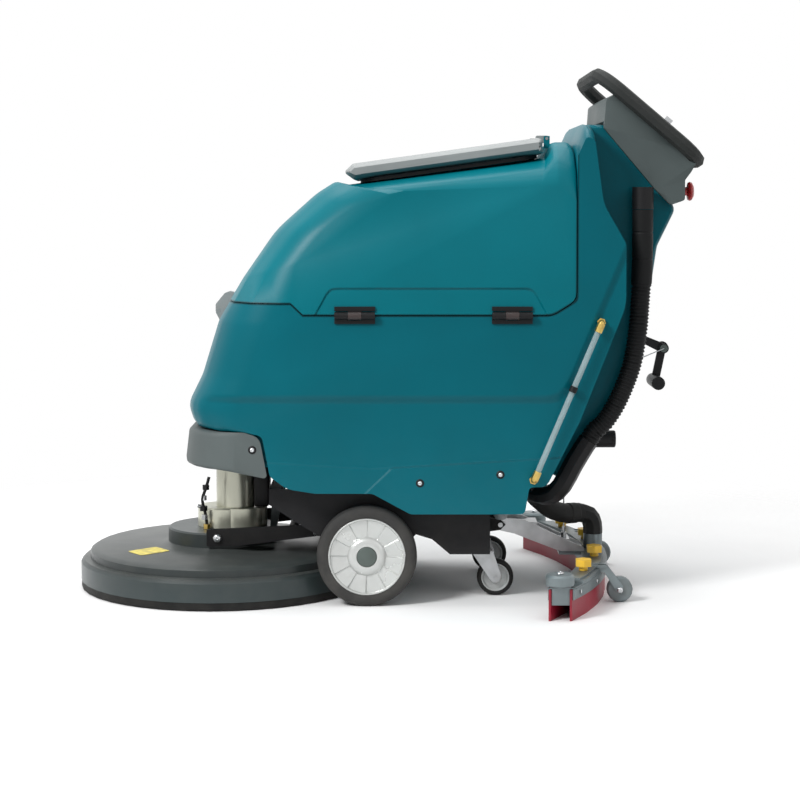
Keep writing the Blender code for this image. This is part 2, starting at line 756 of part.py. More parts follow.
def tank_latch():
    """The grey latch on the nose, the bracket that it turns in, and its pin."""
    x, z = LATCH_PIVOT
    latch = plate("tank_latch", LID_GREY, rounded([
        (x - 0.0070, z - 0.0045, 0.004), (x - 0.0070, z + 0.0140, 0.006),
        (x + 0.0120, z + 0.0370, 0.005), (x + 0.0230, z + 0.0410, 0.003),
        (x + 0.0340, z + 0.0375, 0.003), (x + 0.0250, z + 0.0200, 0),
        (x + 0.0110, z + 0.0020, 0.004), (x + 0.0055, z - 0.0055, 0.004),
    ], 2), -LATCH_HALF_WIDTH, LATCH_HALF_WIDTH)
    join(latch, cylinder("latch_pin", ZINC, (x, 0, z), PIN_RADIUS, 2 * LATCH_HALF_WIDTH + 0.010, Y, 16))
    evaluated_in_place(latch)
    bracket = plate("latch_bracket", BLACK_PLASTIC, [
        (x + 0.0045, z - 0.0240), (x - 0.0060, z - 0.0040), (x - 0.0060, z + 0.0050),
        (x + 0.0040, z + 0.0070), (x + 0.0300, z + 0.0100), (x + 0.0250, z - 0.0240),
    ], -LATCH_HALF_WIDTH - 0.005, LATCH_HALF_WIDTH + 0.005)
    nose_face = body_shell(
        "nose_face", LID_GREY, inset(lower_outline(0, 0), -GAP),
        inset(lower_outline(NOSE_SIDE, 0.030), -GAP), BODY_HALF_WIDTH + GAP, SHOULDER_Y,
    )
    cut(bracket, nose_face)
    slot = box("latch_slot", BLACK_PLASTIC, (x - 0.05, -LATCH_HALF_WIDTH - SLIP, z - 0.0100),
               (x + 0.05, LATCH_HALF_WIDTH + SLIP, z + 0.05))
    cut(bracket, slot)
    cut(bracket, cylinder("bracket_hole", BLACK_PLASTIC, (x, 0, z), PIN_RADIUS + GAP, 0.1, Y, 16))
    evaluated_in_place(bracket)


# ---------------------------------------------------------------- frame and wheels


def chassis_frame():
    """Two side plates, cross members, the caster plate and the bosses that carry arms."""
    top = TANK_FLOOR - GAP
    low_top = TANK_FLOOR_REAR - GAP
    outline = [
        (FRAME_FRONT, top), (FRAME_FRONT, 0.196), (-0.165, 0.150), (-0.105, 0.116),
        (WHEEL_X - 0.030, 0.078), (WHEEL_X + 0.030, 0.078), (0.060, 0.136),
        (0.092, 0.126), (0.128, CASTER_TOP), (FRAME_REAR, CASTER_TOP),
        (FRAME_REAR, low_top), (0.0485, low_top), (-0.0270, top - 0.0012), (-0.0500, top),
    ]
    half = FRAME_HALF_WIDTH
    frame = plate("chassis_frame", FRAME_BLACK, outline, half - FRAME_PLATE, half)
    join(frame, plate("side", FRAME_BLACK, outline, -half, FRAME_PLATE - half))
    inner = half - FRAME_PLATE / 2
    caster_high = CASTER_TOP + CASTER_PLATE
    members = [
        ((FRAME_FRONT, -inner, CROSS_Z), (FRAME_FRONT + 0.026, inner, top)),
        ((-0.110, -inner, CROSS_Z), (-0.084, inner, top)),
        ((0.150, -inner, 0.172), (0.176, inner, low_top)),
        ((0.132, -inner, CASTER_TOP), (FRAME_REAR, inner, caster_high)),
        ((FRAME_REAR - 0.004, -0.045, CASTER_TOP), (FRAME_REAR, 0.045, low_top)),
    ]
    for low, high in members:
        join(frame, box("member", FRAME_BLACK, low, high))
    for sign in (-1, 1):
        outer = sign * (half + HUB_SPACER)
        middle = (WHEEL_X, sign * (half + outer * sign) / 2 - sign * 0.010, WHEEL_RADIUS)
        join(frame, cylinder("bearing", FRAME_BLACK, middle, 0.021, HUB_SPACER + 0.020, Y, 16))
        arm_x, arm_z = ARM_REAR
        lug = plate("arm_lug", FRAME_BLACK, [
            (arm_x - 0.014, arm_z - 0.014), (arm_x - 0.014, top - 0.002),
            (arm_x + 0.052, top - 0.002), (arm_x + 0.014, arm_z - 0.014),
        ], sign * LUG_INSET - 0.003, sign * LUG_INSET + 0.003)
        join(frame, lug)
        link_x, link_z = ARM_REAR[0] + LINK_OFFSET[0], ARM_REAR[1] + LINK_OFFSET[1]
        link_lug = plate("link_lug", FRAME_BLACK, [
            (link_x - 0.011, link_z - 0.011), (link_x - 0.034, top - 0.002),
            (link_x - 0.007, top - 0.002), (link_x + 0.011, link_z), (link_x + 0.007, link_z - 0.011),
        ], sign * 0.0265 - 0.003, sign * 0.0265 + 0.003)
        join(frame, link_lug)
        hitch_x, hitch_z = HITCH
        hitch_lug = plate("hitch_lug", FRAME_BLACK, [
            (FRAME_REAR - 0.006, hitch_z - 0.016), (FRAME_REAR - 0.006, hitch_z + 0.016),
            (hitch_x, hitch_z + 0.011), (hitch_x + 0.011, hitch_z), (hitch_x, hitch_z - 0.011),
        ], sign * 0.0350 - 0.003, sign * 0.0350 + 0.003)
        join(frame, hitch_lug)
    join(frame, box("rail", FRAME_BLACK, (-0.160, -LUG_INSET - 0.003, CROSS_Z),
                    (link_x - 0.0075, LUG_INSET + 0.003, top - 0.001)))
    join(frame, cylinder("axle", FRAME_BLACK, (WHEEL_X, 0, WHEEL_RADIUS), AXLE_RADIUS,
                         2 * (WHEEL_Y + 0.0110), Y, 16))
    bores = [
        (*ARM_REAR, PIVOT_PIN + GAP),
        (link_x, link_z, PIVOT_PIN + GAP), (*HITCH, PIVOT_PIN + GAP),
    ]
    for x, z, radius in bores:
        cut(frame, cylinder("bore", FRAME_BLACK, (x, 0, z), radius, 1.0, Y, 12))
    for sign in (-1, 1):
        stem = cylinder("stem_hole", FRAME_BLACK, (CASTER_X, sign * CASTER_Y, CASTER_TOP),
                        STEM_RADIUS + GAP, 0.05, Z, 12)
        cut(frame, stem)
    return evaluated_in_place(frame)


def wheels():
    """Both drive wheels: a solid tyre on a rim that turns on the axle's end."""
    inner = WHEEL_WIDTH / 2
    for sign, side in ((-1, "left"), (1, "right")):
        middle = (WHEEL_X, sign * WHEEL_Y, WHEEL_RADIUS)
        outward = Y * sign
        turned(f"{side}_tyre", RUBBER, [
            (RIM_RADIUS, inner - 0.003), (WHEEL_RADIUS - 0.006, inner),
            (WHEEL_RADIUS, inner - 0.007), (WHEEL_RADIUS, -inner + 0.007),
            (WHEEL_RADIUS - 0.006, -inner), (RIM_RADIUS, -inner + 0.003),
        ], middle, outward, 36, True)
        rim_edge = RIM_RADIUS - GAP
        turned(f"{side}_rim", RIM_SILVER, [
            (0, 0.0190), (HUB_CAP_RADIUS * 0.7, 0.0180), (HUB_CAP_RADIUS, 0.0155),
            (0.034, 0.0125), (rim_edge - 0.010, inner - 0.001 - RIM_DISH), (rim_edge - 0.005, inner - 0.001),
            (rim_edge, inner - 0.002), (rim_edge, -inner + 0.004), (rim_edge - 0.006, -inner + 0.004),
            (rim_edge - 0.008, -0.006), (0.026, -0.006), (0.020, -inner + 0.0015),
            (AXLE_RADIUS + SLIP, -inner + 0.0015), (AXLE_RADIUS + SLIP, 0.0120), (0, 0.0120),
        ], middle, outward, 24)


def caster(side, sign):
    """A swivel caster: fork with its stem, and the wheel on its pin."""
    y = sign * CASTER_Y
    top = CASTER_TOP - GAP
    wheel = Vector((CASTER_X + CASTER_TRAIL, y, CASTER_RADIUS))
    outer = CASTER_WIDTH / 2 + 0.0045
    arm = rounded([
        (CASTER_X - 0.020, top - 0.008, 0.004), (CASTER_X - 0.018, top - 0.004, 0.002),
        (CASTER_X + 0.022, top - 0.004, 0.004),
        (wheel.x + 0.012, wheel.z + 0.004, 0.010), (wheel.x + 0.002, wheel.z - 0.013, 0.010),
        (wheel.x - 0.012, wheel.z - 0.002, 0.010),
    ], 2)
    fork = plate(f"{side}_caster_fork", ZINC, arm, y + outer - 0.003, y + outer)
    join(
        fork,
        plate("arm", ZINC, arm, y - outer, y - outer + 0.003),
        box("crown", ZINC, (CASTER_X - 0.020, y - outer, top - 0.0065),
            (CASTER_X + 0.022, y + outer, top - 0.0030)),
        cylinder("race", ZINC, (CASTER_X, y, top - 0.004), 0.020, 0.008, Z, 16),
        cylinder("stem", ZINC, (CASTER_X, y, top + 0.004), STEM_RADIUS, 0.016, Z, 12),
        cylinder("pin", ZINC, wheel, 0.004, 2 * outer + 0.004, Y, 12),
    )
    evaluated_in_place(fork)
    half = CASTER_WIDTH / 2
    turned(f"{side}_caster_wheel", RUBBER, [
        (0.004 + SLIP, half), (0.010, half), (0.013, half - 0.003), (0.026, half - 0.003),
        (CASTER_RADIUS - 0.004, half - 0.001), (CASTER_RADIUS, half - 0.006),
        (CASTER_RADIUS, -half + 0.006), (CASTER_RADIUS - 0.004, -half + 0.001),
        (0.026, -half + 0.003), (0.013, -half + 0.003), (0.010, -half), (0.004 + SLIP, -half),
    ], wheel, Y, 20, True)


def batteries():
    gap = (WELL_REAR - WELL_FRONT - 2 * BATTERY_LENGTH) / 3
    floor = WELL_FLOOR + GAP
    for n, side in enumerate(("front", "rear")):
        x = WELL_FRONT + gap + n * (BATTERY_LENGTH + gap)
        case = box(f"{side}_battery", BATTERY_GREY, (x, -BATTERY_WIDTH / 2, floor),
                   (x + BATTERY_LENGTH, BATTERY_WIDTH / 2, floor + BATTERY_HEIGHT), 0.004, 1)
        for y in (-0.12, 0.12):
            post = cylinder("post", ZINC, (x + 0.04, y, floor + BATTERY_HEIGHT + 0.006),
                            0.008, 0.016, Z, 12)
            join(case, post)


def vacuum_motor():
    """Two-stage suction motor standing in the dry bay of the column."""
    x = (SEAM_REAR_X + 0.020 + BAY_REAR) / 2
    floor = BAY_FLOOR + GAP
    turned("vacuum_motor", MOTOR_SILVER, [
        (0, 0.150), (0.036, 0.150), (0.040, 0.140), (0.040, 0.075), (0.056, 0.073),
        (0.060, 0.065), (0.060, 0.030), (0.050, 0.028), (0.050, 0), (0, 0),
    ], (x, 0, floor), Z, 20)


def front_bumper():
    """The grey cover under the nose: a shell open below and behind, round the motor."""
    top = RECESS_TOP - BUMPER_GAP
    corners = [
        (-0.4100, 0.2770, 0.010), (-0.4020, top - 0.004, 0.012), (-0.3860, top - 0.0005, 0.010),
        (RECESS_X - 0.0205, top - 0.0108, 0.022), (RECESS_X - 0.0045, 0.2560, 0.006),
    ]
    centre = rounded(corners)
    side = rounded([(x + NOSE_SIDE, z, r) for x, z, r in corners[:3]] + corners[3:])
    bumper = body_shell("front_bumper", BUMPER_GREY, centre, side, BODY_HALF_WIDTH - 0.001, SHOULDER_Y, 5)
    wall = BUMPER_WALL
    hollow_corners = [
        (-0.4100 + wall, 0.2000, 0.010), (-0.4020 + wall, top - wall - 0.004, 0.010),
        (-0.3860, top - wall, 0.010), (RECESS_X + 0.1000, top - wall - 0.0120, 0.010),
        (RECESS_X + 0.1000, 0.2000, 0.006),
    ]
    inner = rounded(hollow_corners)
    inner_side = rounded(
        [(x + NOSE_SIDE, z, r) for x, z, r in hollow_corners[:3]] + hollow_corners[3:]
    )
    hollow = body_shell("bumper_hollow", BUMPER_GREY, inner, inner_side,
                        BODY_HALF_WIDTH - wall - 0.001, SHOULDER_Y - wall, 4)
    cut(bumper, hollow)
    return evaluated_in_place(bumper)


# ---------------------------------------------------------------- brush deck

def deck():
    """The round deck, its rubber skirt, the brush, and the motor standing on the deck."""
    wall = 0.004
    housing = turned("brush_deck", DECK_GREY, [
        (0.040, DECK_HUB_TOP), (DECK_HUB_RADIUS - 0.004, DECK_HUB_TOP),
        (DECK_HUB_RADIUS, DECK_HUB_TOP - 0.003), (DECK_HUB_RADIUS, DECK_HUB_TOP - 0.030),
        (DECK_HUB_RADIUS + 0.018, DECK_TOP + 0.003), (DECK_TIER_RADIUS - 0.010, DECK_TOP),
        (DECK_TIER_RADIUS, DECK_TOP - 0.006), (DECK_TIER_RADIUS + 0.001, DECK_EDGE_TOP + 0.001),
        (DECK_RADIUS - 0.006, DECK_EDGE_TOP - 0.001), (DECK_RADIUS, DECK_EDGE_TOP - 0.008),
        (DECK_RADIUS, SKIRT_TOP), (DECK_RADIUS - wall, SKIRT_TOP),
        (DECK_RADIUS - wall, DECK_EDGE_TOP - 0.012), (DECK_TIER_RADIUS - wall, DECK_EDGE_TOP - 0.006),
        (DECK_TIER_RADIUS - wall - 0.002, DECK_TOP - 0.010), (DECK_HUB_RADIUS + 0.014, DECK_TOP - 0.004),
        (DECK_HUB_RADIUS - wall, DECK_HUB_TOP - 0.034), (DECK_HUB_RADIUS - wall, DECK_HUB_TOP - 0.006),
        (0.040, DECK_HUB_TOP - 0.006),
    ], (DECK_X, 0, 0), Z, ROUND_SIDES, True)
    x, z = ARM_FRONT
    for sign in (-1, 1):
        middle = (x, sign * (DECK_HUB_RADIUS - 0.0094), z)
        join(housing, cylinder("boss", DECK_GREY, middle, 0.012, 0.020, Y, 20))
    cut(housing, cylinder("boss_bore", DECK_GREY, (x, 0, z), PIVOT_PIN + GAP, 0.5, Y, 16))
    turned("deck_skirt", RUBBER, [
        (DECK_RADIUS - 0.001, SKIRT_TOP - GAP), (DECK_RADIUS - 0.001, SKIRT_FOOT),
        (DECK_RADIUS - 0.004, SKIRT_FOOT), (DECK_RADIUS - 0.004, SKIRT_TOP - GAP),
    ], (DECK_X, 0, 0), Z, ROUND_SIDES, True)
    turned("brush", BRISTLE, [
        (BRUSH_BORE, BRUSH_TOP + 0.008), (0.048, BRUSH_TOP + 0.008), (0.050, BRUSH_TOP),
        (BRUSH_RADIUS - 0.012, BRUSH_TOP), (BRUSH_RADIUS - 0.008, BRUSH_TOP - 0.010),
        (BRUSH_RADIUS, 0.004), (BRUSH_RADIUS - 0.002, 0), (0.080, 0), (0.084, BRUSH_TOP - 0.014),
        (BRUSH_BORE, BRUSH_TOP - 0.014),
    ], (DECK_X, 0, 0), Z, 32, True)
    base = DECK_HUB_TOP + GAP
    motor = turned("brush_motor", MOTOR_SILVER, [
        (0, MOTOR_TOP), (MOTOR_RADIUS - 0.004, MOTOR_TOP), (MOTOR_RADIUS, MOTOR_TOP - 0.004),
        (MOTOR_RADIUS, GEARBOX_TOP - 0.002), (0, GEARBOX_TOP - 0.002),
    ], (MOTOR_X, 0, 0), Z, 24)
    gearbox = turned("gearbox", MOTOR_SILVER, [
        (0, GEARBOX_TOP), (GEARBOX_RADIUS - 0.003, GEARBOX_TOP), (GEARBOX_RADIUS, GEARBOX_TOP - 0.003),
        (GEARBOX_RADIUS, base), (0.032, base), (0.032, BRUSH_TOP + 0.020), (0.012, BRUSH_TOP + 0.020),
        (0.012, BRUSH_TOP + 0.0085), (0, BRUSH_TOP + 0.0085),
    ], (GEARBOX_X, 0, 0), Z, 24)
    gearbox.location.x = DECK_X
    foot = turned("gear_foot", MOTOR_SILVER, [
        (0, GEARBOX_TOP - 0.001), (GEARBOX_RADIUS, GEARBOX_TOP - 0.001), (GEARBOX_RADIUS, base), (0, base),
    ], (GEARBOX_X, 0, 0), Z, 24)
    join(motor, gearbox, foot)
    evaluated_in_place(motor)
    box("motor_cover", BLACK_PLASTIC,
                (MOTOR_X + MOTOR_RADIUS + GAP, -0.030, GEARBOX_TOP + GAP),
                (MOTOR_X + MOTOR_RADIUS + 0.0335, 0.030, MOTOR_TOP - 0.050), 0.006)
    link_x = ARM_FRONT[0] + LINK_OFFSET[0]
    link_z = ARM_FRONT[1] + LINK_OFFSET[1]
    foot = DECK_HUB_TOP - 0.004
    outline = [
        (link_x - 0.014, foot), (link_x - 0.010, link_z - 0.002), (link_x - 0.006, link_z + 0.009),
        (link_x + 0.006, link_z + 0.009), (link_x + 0.010, link_z), (link_x - 0.002, foot),
    ]
    join(
        housing,
        plate("tower_side", DECK_GREY, outline, 0.0235, 0.0300),
        plate("tower_side", DECK_GREY, outline, -0.0300, -0.0235),
    )
    cut(housing, cylinder("tower_bore", DECK_GREY, (link_x, 0, link_z), PIVOT_PIN + GAP, 0.2, Y, 16))
    evaluated_in_place(housing)


def lift_arms():
    """The pair of lower arms joined by a cross bar, the upper link, and their bolts."""
    (rear_x, rear_z), (front_x, front_z) = ARM_REAR, ARM_FRONT
    outline = rounded([
        (front_x - 0.022, front_z - 0.018, 0.003), (front_x - 0.022, front_z + 0.018, 0.003),
        (front_x + 0.030, front_z + 0.020, 0.003), (rear_x, rear_z + 0.013, 0.010),
        (rear_x + 0.014, rear_z, 0.010), (rear_x, rear_z - 0.011, 0.010),
        (front_x + 0.050, front_z - 0.015, 0.010),
    ], 2)
    half = ARM_THICKNESS / 2
    arms = plate("deck_lift_arm", FRAME_BLACK, outline, ARM_Y - half, ARM_Y + half)
    join(
        arms,
        plate("arm", FRAME_BLACK, outline, -ARM_Y - half, -ARM_Y + half),
        cylinder("cross_bar", FRAME_BLACK, (rear_x - 0.050, 0, rear_z - 0.003), 0.010,
                 2 * ARM_Y, Y, 20),
    )
    for sign in (-1, 1):
        tip_y = sign * (DECK_HUB_RADIUS - 0.016)
        outer_y = sign * (ARM_Y + half + 0.004)
        span = abs(outer_y - tip_y)
        for x, z, head in ((front_x, front_z, 0.0095), (rear_x, rear_z, 0.0095)):
            join(
                arms,
                cylinder("pivot_pin", FRAME_BLACK, (x, (tip_y + outer_y) / 2, z), PIVOT_PIN, span, Y, 12),
                cylinder("bolt_head", FRAME_BLACK, (x, outer_y - sign * 0.0035, z), head, 0.005, Y, 12),
            )
    evaluated_in_place(arms)
    dx, dz = LINK_OFFSET
    link = plate("upper_link", FRAME_BLACK, rounded([
        (front_x + dx - 0.013, front_z + dz, 0.010), (front_x + dx, front_z + dz + 0.014, 0.010),
        (rear_x + dx, rear_z + dz + 0.014, 0.010), (rear_x + dx + 0.013, rear_z + dz, 0.010),
        (rear_x + dx, rear_z + dz - 0.014, 0.010), (front_x + dx, front_z + dz - 0.014, 0.010),
    ], 2), -0.0225, 0.0225)
    join(link, cylinder("rear_pin", FRAME_BLACK, (rear_x + dx, 0, rear_z + dz), PIVOT_PIN, 0.0600, Y, 16))
    join(link, cylinder("front_pin", FRAME_BLACK, (front_x + dx, 0, front_z + dz),
                        PIVOT_PIN - LINK_PLAY, 0.0600, Y, 16))
    evaluated_in_place(link)


# ---------------------------------------------------------------- squeegee

def sweep_x(y, offset=0.0):
    """The rear face of the squeegee, a shallow curve whose ends lie ahead."""
    return SQUEEGEE_REAR_X - SQUEEGEE_SWEEP * (y / SQUEEGEE_HALF_WIDTH) ** 2 + offset


def band(front, rear, half, steps=10):
    """A curved band in plan between two offsets from the squeegee's rear face."""
    ys = [half * (2 * i / steps - 1) for i in range(steps + 1)]
    return [(sweep_x(y, rear), y) for y in ys] + [(sweep_x(y, front), y) for y in reversed(ys)]


def squeegee():
    """Squeegee body with its two blades, rollers, support wheels and clamp knobs."""
    low, high = SQUEEGEE_FOOT, SQUEEGEE_TOP
    depth = SQUEEGEE_DEPTH
    body = plate("squeegee_body", SQUEEGEE_GREY, band(-depth + 0.008, -0.008, SQUEEGEE_HALF_WIDTH),
                 low, high, upright=False)
    flange = plate("flange", SQUEEGEE_GREY, band(-depth, 0, SQUEEGEE_HALF_WIDTH + 0.001),
                   high - 0.012, high - 0.004, upright=False)
    join(body, flange)
    port_x = SQUEEGEE_REAR_X - depth / 2
    join(body, cylinder("port", SQUEEGEE_GREY, (port_x, 0, (high + PORT_TOP) / 2 - 0.006),
                        PORT_RADIUS, PORT_TOP - high + 0.012, Z, 24))
    duct = cylinder("duct", SQUEEGEE_GREY, (port_x, 0, high), PORT_RADIUS - 0.003, 0.2, Z, 20)
    channel = plate("channel", SQUEEGEE_GREY, band(-depth + 0.013, -0.013, SQUEEGEE_HALF_WIDTH - 0.020),
                    low - 0.010, high - 0.0145, upright=False)
    for sign in (-1, 1):
        y = sign * SUPPORT_Y
        x = sweep_x(y)
        for offset in (-0.0130, 0.0100):
            edge = sorted((y + offset, y + offset + 0.003))
            ear = plate("ear", ZINC, rounded([
                (x - 0.020, BLADE_TOP + 0.0025, 0), (x - 0.020, high + 0.0015, 0.003),
                (x + 0.010, high + 0.0015, 0.010),
                (x + SUPPORT_REACH + 0.008, SUPPORT_RADIUS + 0.006, 0.008),
                (x + SUPPORT_REACH, SUPPORT_RADIUS - 0.009, 0.008),
                (x + SUPPORT_REACH - 0.012, SUPPORT_RADIUS + 0.004, 0.006),
                (x + 0.003, BLADE_TOP + 0.0025, 0.004),
            ], 2), edge[0], edge[1])
            join(body, ear)
        join(body, cylinder("wheel_pin", ZINC, (x + SUPPORT_REACH, y, SUPPORT_RADIUS),
                            0.0035, 0.030, Y, 12))
        for knob_y, _ in KNOBS:
            join(body, cylinder("stud", ZINC, (sweep_x(knob_y, -depth / 2), sign * knob_y, high + 0.003),
                                0.0035, 0.016, Z, 12))
    join(body, box("saddle", SQUEEGEE_GREY, (port_x - 0.074, -0.034, SADDLE_TOP - 0.0065),
                   (port_x - 0.018, 0.034, SADDLE_TOP)))
    cut(body, channel, duct)
    for sign in (-1, 1):
        middle = sign * (ROLLER_Y + 0.015)
        cut(body, box("end_step", SQUEEGEE_GREY, (0, middle - STEP_HALF, STEP_TOP),
                      (1, middle + STEP_HALF, STEP_TOP + 0.05)))
        join(body, cylinder("roller_pin", ZINC,
                            (sweep_x(ROLLER_Y, -ROLLER_BACK), sign * ROLLER_Y, STEP_TOP + ROLLER_HEIGHT / 2),
                            0.004, ROLLER_HEIGHT + 0.006, Z, 12))
    evaluated_in_place(body)
    for name, offset in (("rear_blade", -0.0077), ("front_blade", -depth + 0.0036)):
        plate(name, BLADE_RED, band(offset, offset + BLADE_THICKNESS, SQUEEGEE_HALF_WIDTH + 0.004),
              0.0, BLADE_TOP, upright=False)
    for sign, side in ((-1, "left"), (1, "right")):
        y = sign * SUPPORT_Y
        turned(f"{side}_support_wheel", RUBBER, [
            (0.0035 + SLIP, 0.009), (SUPPORT_RADIUS - 0.003, 0.009), (SUPPORT_RADIUS, 0.006),
            (SUPPORT_RADIUS, -0.006), (SUPPORT_RADIUS - 0.003, -0.009), (0.0035 + SLIP, -0.009),
        ], (sweep_x(y) + SUPPORT_REACH, y, SUPPORT_RADIUS), Y, 18, True)
        half = ROLLER_HEIGHT / 2
        turned(f"{side}_bumper_roller", SQUEEGEE_GREY, [
            (0.004 + SLIP, half), (ROLLER_RADIUS - 0.004, half), (ROLLER_RADIUS, half - 0.004),
            (ROLLER_RADIUS, -half + 0.004), (ROLLER_RADIUS - 0.004, -half), (0.004 + SLIP, -half),
        ], (sweep_x(ROLLER_Y, -ROLLER_BACK), sign * ROLLER_Y, STEP_TOP + half + GAP), Z, 24, True)
        for knob_y, label in KNOBS:
            knob(f"{side}_{label}_knob", (sweep_x(knob_y, -depth / 2), sign * knob_y, high + GAP))


def knob(name, seat):
    """A star knob: a skirt and six lobes over a blind bore."""
    outline = []
    for i in range(24):
        angle = math.radians(15 * i)
        radius = KNOB_RADIUS * (1 - 0.16 * (0.5 + 0.5 * math.cos(6 * angle)))
        outline.append((seat[0] + radius * math.cos(angle), seat[1] + radius * math.sin(angle)))
    star = plate(name, YELLOW, outline, seat[2] + 0.008, seat[2] + 0.022, upright=False)
    join(star, cylinder("skirt", YELLOW, (seat[0], seat[1], seat[2] + 0.0055), 0.009, 0.011, Z, 16))
    cut(star, cylinder("blind", YELLOW, seat, 0.0035 + GAP, 0.026, Z, 12))
    star = evaluated_in_place(star)
    return star


def squeegee_arm():
    """The drawbar from the frame to the squeegee, with the foot that sits on its saddle."""
    x, z = HITCH
    port_x = SQUEEGEE_REAR_X - SQUEEGEE_DEPTH / 2
    foot = SADDLE_TOP + GAP
    end = port_x - PORT_RADIUS - 0.001
    outline = rounded([
        (x - 0.012, z, 0.010), (x, z + 0.013, 0.010), (x + 0.050, z + 0.010, 0.010),
        (end - 0.028, foot + 0.020, 0.010), (end, foot + 0.008, 0.004), (end, foot, 0),
        (end - 0.050, foot, 0.004), (x + 0.030, z - 0.020, 0.010), (x, z - 0.013, 0.010),
    ], 2)
    arm = plate("squeegee_arm", ZINC, outline, 0.0265, 0.0310)
    join(arm, plate("arm", ZINC, outline, -0.0310, -0.0265))
    join(arm, box("bridge", ZINC, (x + 0.040, -0.0290, z - 0.012), (x + 0.078, 0.0290, z + 0.004)))
    join(arm, box("tail", ZINC, (end - 0.046, -0.0290, foot), (end - 0.002, 0.0290, foot + 0.005)))
    anchor_x, anchor_z = CABLE_FOOT
    join(arm, cylinder("cable_anchor", ZINC, (anchor_x, 0, anchor_z - 0.006), 0.006, 0.012, Z, 12))
    join(arm, box("anchor_bar", ZINC, (anchor_x - 0.010, -0.0290, anchor_z - 0.018),
                  (anchor_x + 0.010, 0.0290, anchor_z - 0.010)))
    join(arm, cylinder("hitch_pin", ZINC, (x, 0, z), PIVOT_PIN, 0.084, Y, 16))
    evaluated_in_place(arm)


# ---------------------------------------------------------------- console and handle


def tilted(obj, along, lift):
    """Stands a piece made on the level at a place down the sloping panel, lifted off it."""
    across = CONSOLE_BACK[0] - CONSOLE_TOP[0]
    down = CONSOLE_TOP[1] - CONSOLE_BACK[1]
    turn = Matrix.Rotation(math.atan2(down, across), 4, "Y")
    corner = Matrix.Translation((CONSOLE_TOP[0], 0, CONSOLE_TOP[1]))
    obj.matrix_world = corner @ turn @ Matrix.Translation((along, 0, lift)) @ obj.matrix_world
    return obj


def handle_route():
    """The handle's centre line: a rounded rectangle in the sloping plane."""
    front, back = Vector((HANDLE_FRONT[0], 0, HANDLE_FRONT[1])), Vector((HANDLE_BACK[0], 0, HANDLE_BACK[1]))
    down = (back - front).normalized()
    length, half = (back - front).length, HANDLE_HALF_WIDTH
    corners = rounded([
        (0, -half, HANDLE_CORNER), (length, -half, HANDLE_CORNER),
        (length, half, HANDLE_CORNER), (0, half, HANDLE_CORNER),
    ], 5)
    return [front + down * s + Vector((0, y, 0)) for s, y in corners]


def console():
    """The console housing, open underneath, the handle bar round it and its stop button."""
    outline = rounded([
        (0.4353, 0.9520, 0.004), (*CONSOLE_FRONT, 0.008), (*CONSOLE_TOP, 0.008),
        (*CONSOLE_BACK, 0.010), (0.6100, 0.8640, 0.01), (CONSOLE_REAR_X, 0.8480, 0.006),
        (CONSOLE_REAR_X, 0.8080, 0.006), (0.5696, 0.7980, 0.008), (0.5396, 0.8280, 0.02),
    ])
    housing = plate("console_housing", CONSOLE_GREY, outline, -CONSOLE_HALF_WIDTH, CONSOLE_HALF_WIDTH)
    add_bevel(housing, 0.006, 2, 50)
    housing = evaluated(housing)
    (front_x, front_z), (rear_x, rear_z) = COLUMN_SLOPE
    down = Vector((rear_x - front_x, rear_z - front_z)).normalized()
    over = Vector((-down.y, down.x)) * 0.0010
    cheek_gap = plate("column_clearance", CONSOLE_GREY, [
        (front_x - down.x * 0.1 + over.x, front_z - down.y * 0.1 + over.y),
        (rear_x + down.x * 0.1 + over.x, rear_z + down.y * 0.1 + over.y),
        (rear_x, rear_z - 0.2), (front_x - 0.1, front_z - 0.2),
    ], -CONSOLE_INNER, CONSOLE_INNER)
    room = plate("console_room", CONSOLE_GREY, inset(outline, CONSOLE_WALL),
                 -BAY_HALF_WIDTH, BAY_HALF_WIDTH)
    mouth = plate("console_mouth", CONSOLE_GREY, [
        (front_x + 0.020, front_z + 0.020), (rear_x - 0.010, rear_z + 0.020),
        (rear_x - 0.030, rear_z - 0.050), (front_x + 0.020, front_z - 0.060),
    ], -BAY_HALF_WIDTH, BAY_HALF_WIDTH)
    cut(housing, cheek_gap, room, mouth)
    cut(housing, tube("handle_clearance", CONSOLE_GREY, handle_route(), HANDLE_TUBE + GAP, 2, True))
    collar = cylinder("stop_collar", CONSOLE_GREY, (CONSOLE_REAR_X + 0.004, 0, STOP_Z), 0.0150, 0.020, X, 20)
    join(housing, collar)
    cut(housing, cylinder("stop_bore", CONSOLE_GREY, (CONSOLE_REAR_X, 0, STOP_Z), 0.0095, 0.060, X, 20))
    evaluated_in_place(housing)
    tube("handle_loop", FRAME_BLACK, handle_route(), HANDLE_TUBE, 2, True)
    turned("emergency_stop", RED, [
        (0, STOP_REACH), (STOP_RADIUS * 0.6, STOP_REACH - 0.001), (STOP_RADIUS * 0.95, STOP_REACH - 0.005),
        (STOP_RADIUS, STOP_REACH - 0.009), (STOP_RADIUS * 0.9, STOP_REACH - 0.013),
        (0.0090, STOP_REACH - 0.015), (0.0090, -0.003), (0, -0.003),
    ], (CONSOLE_REAR_X, 0, STOP_Z), X, 20)


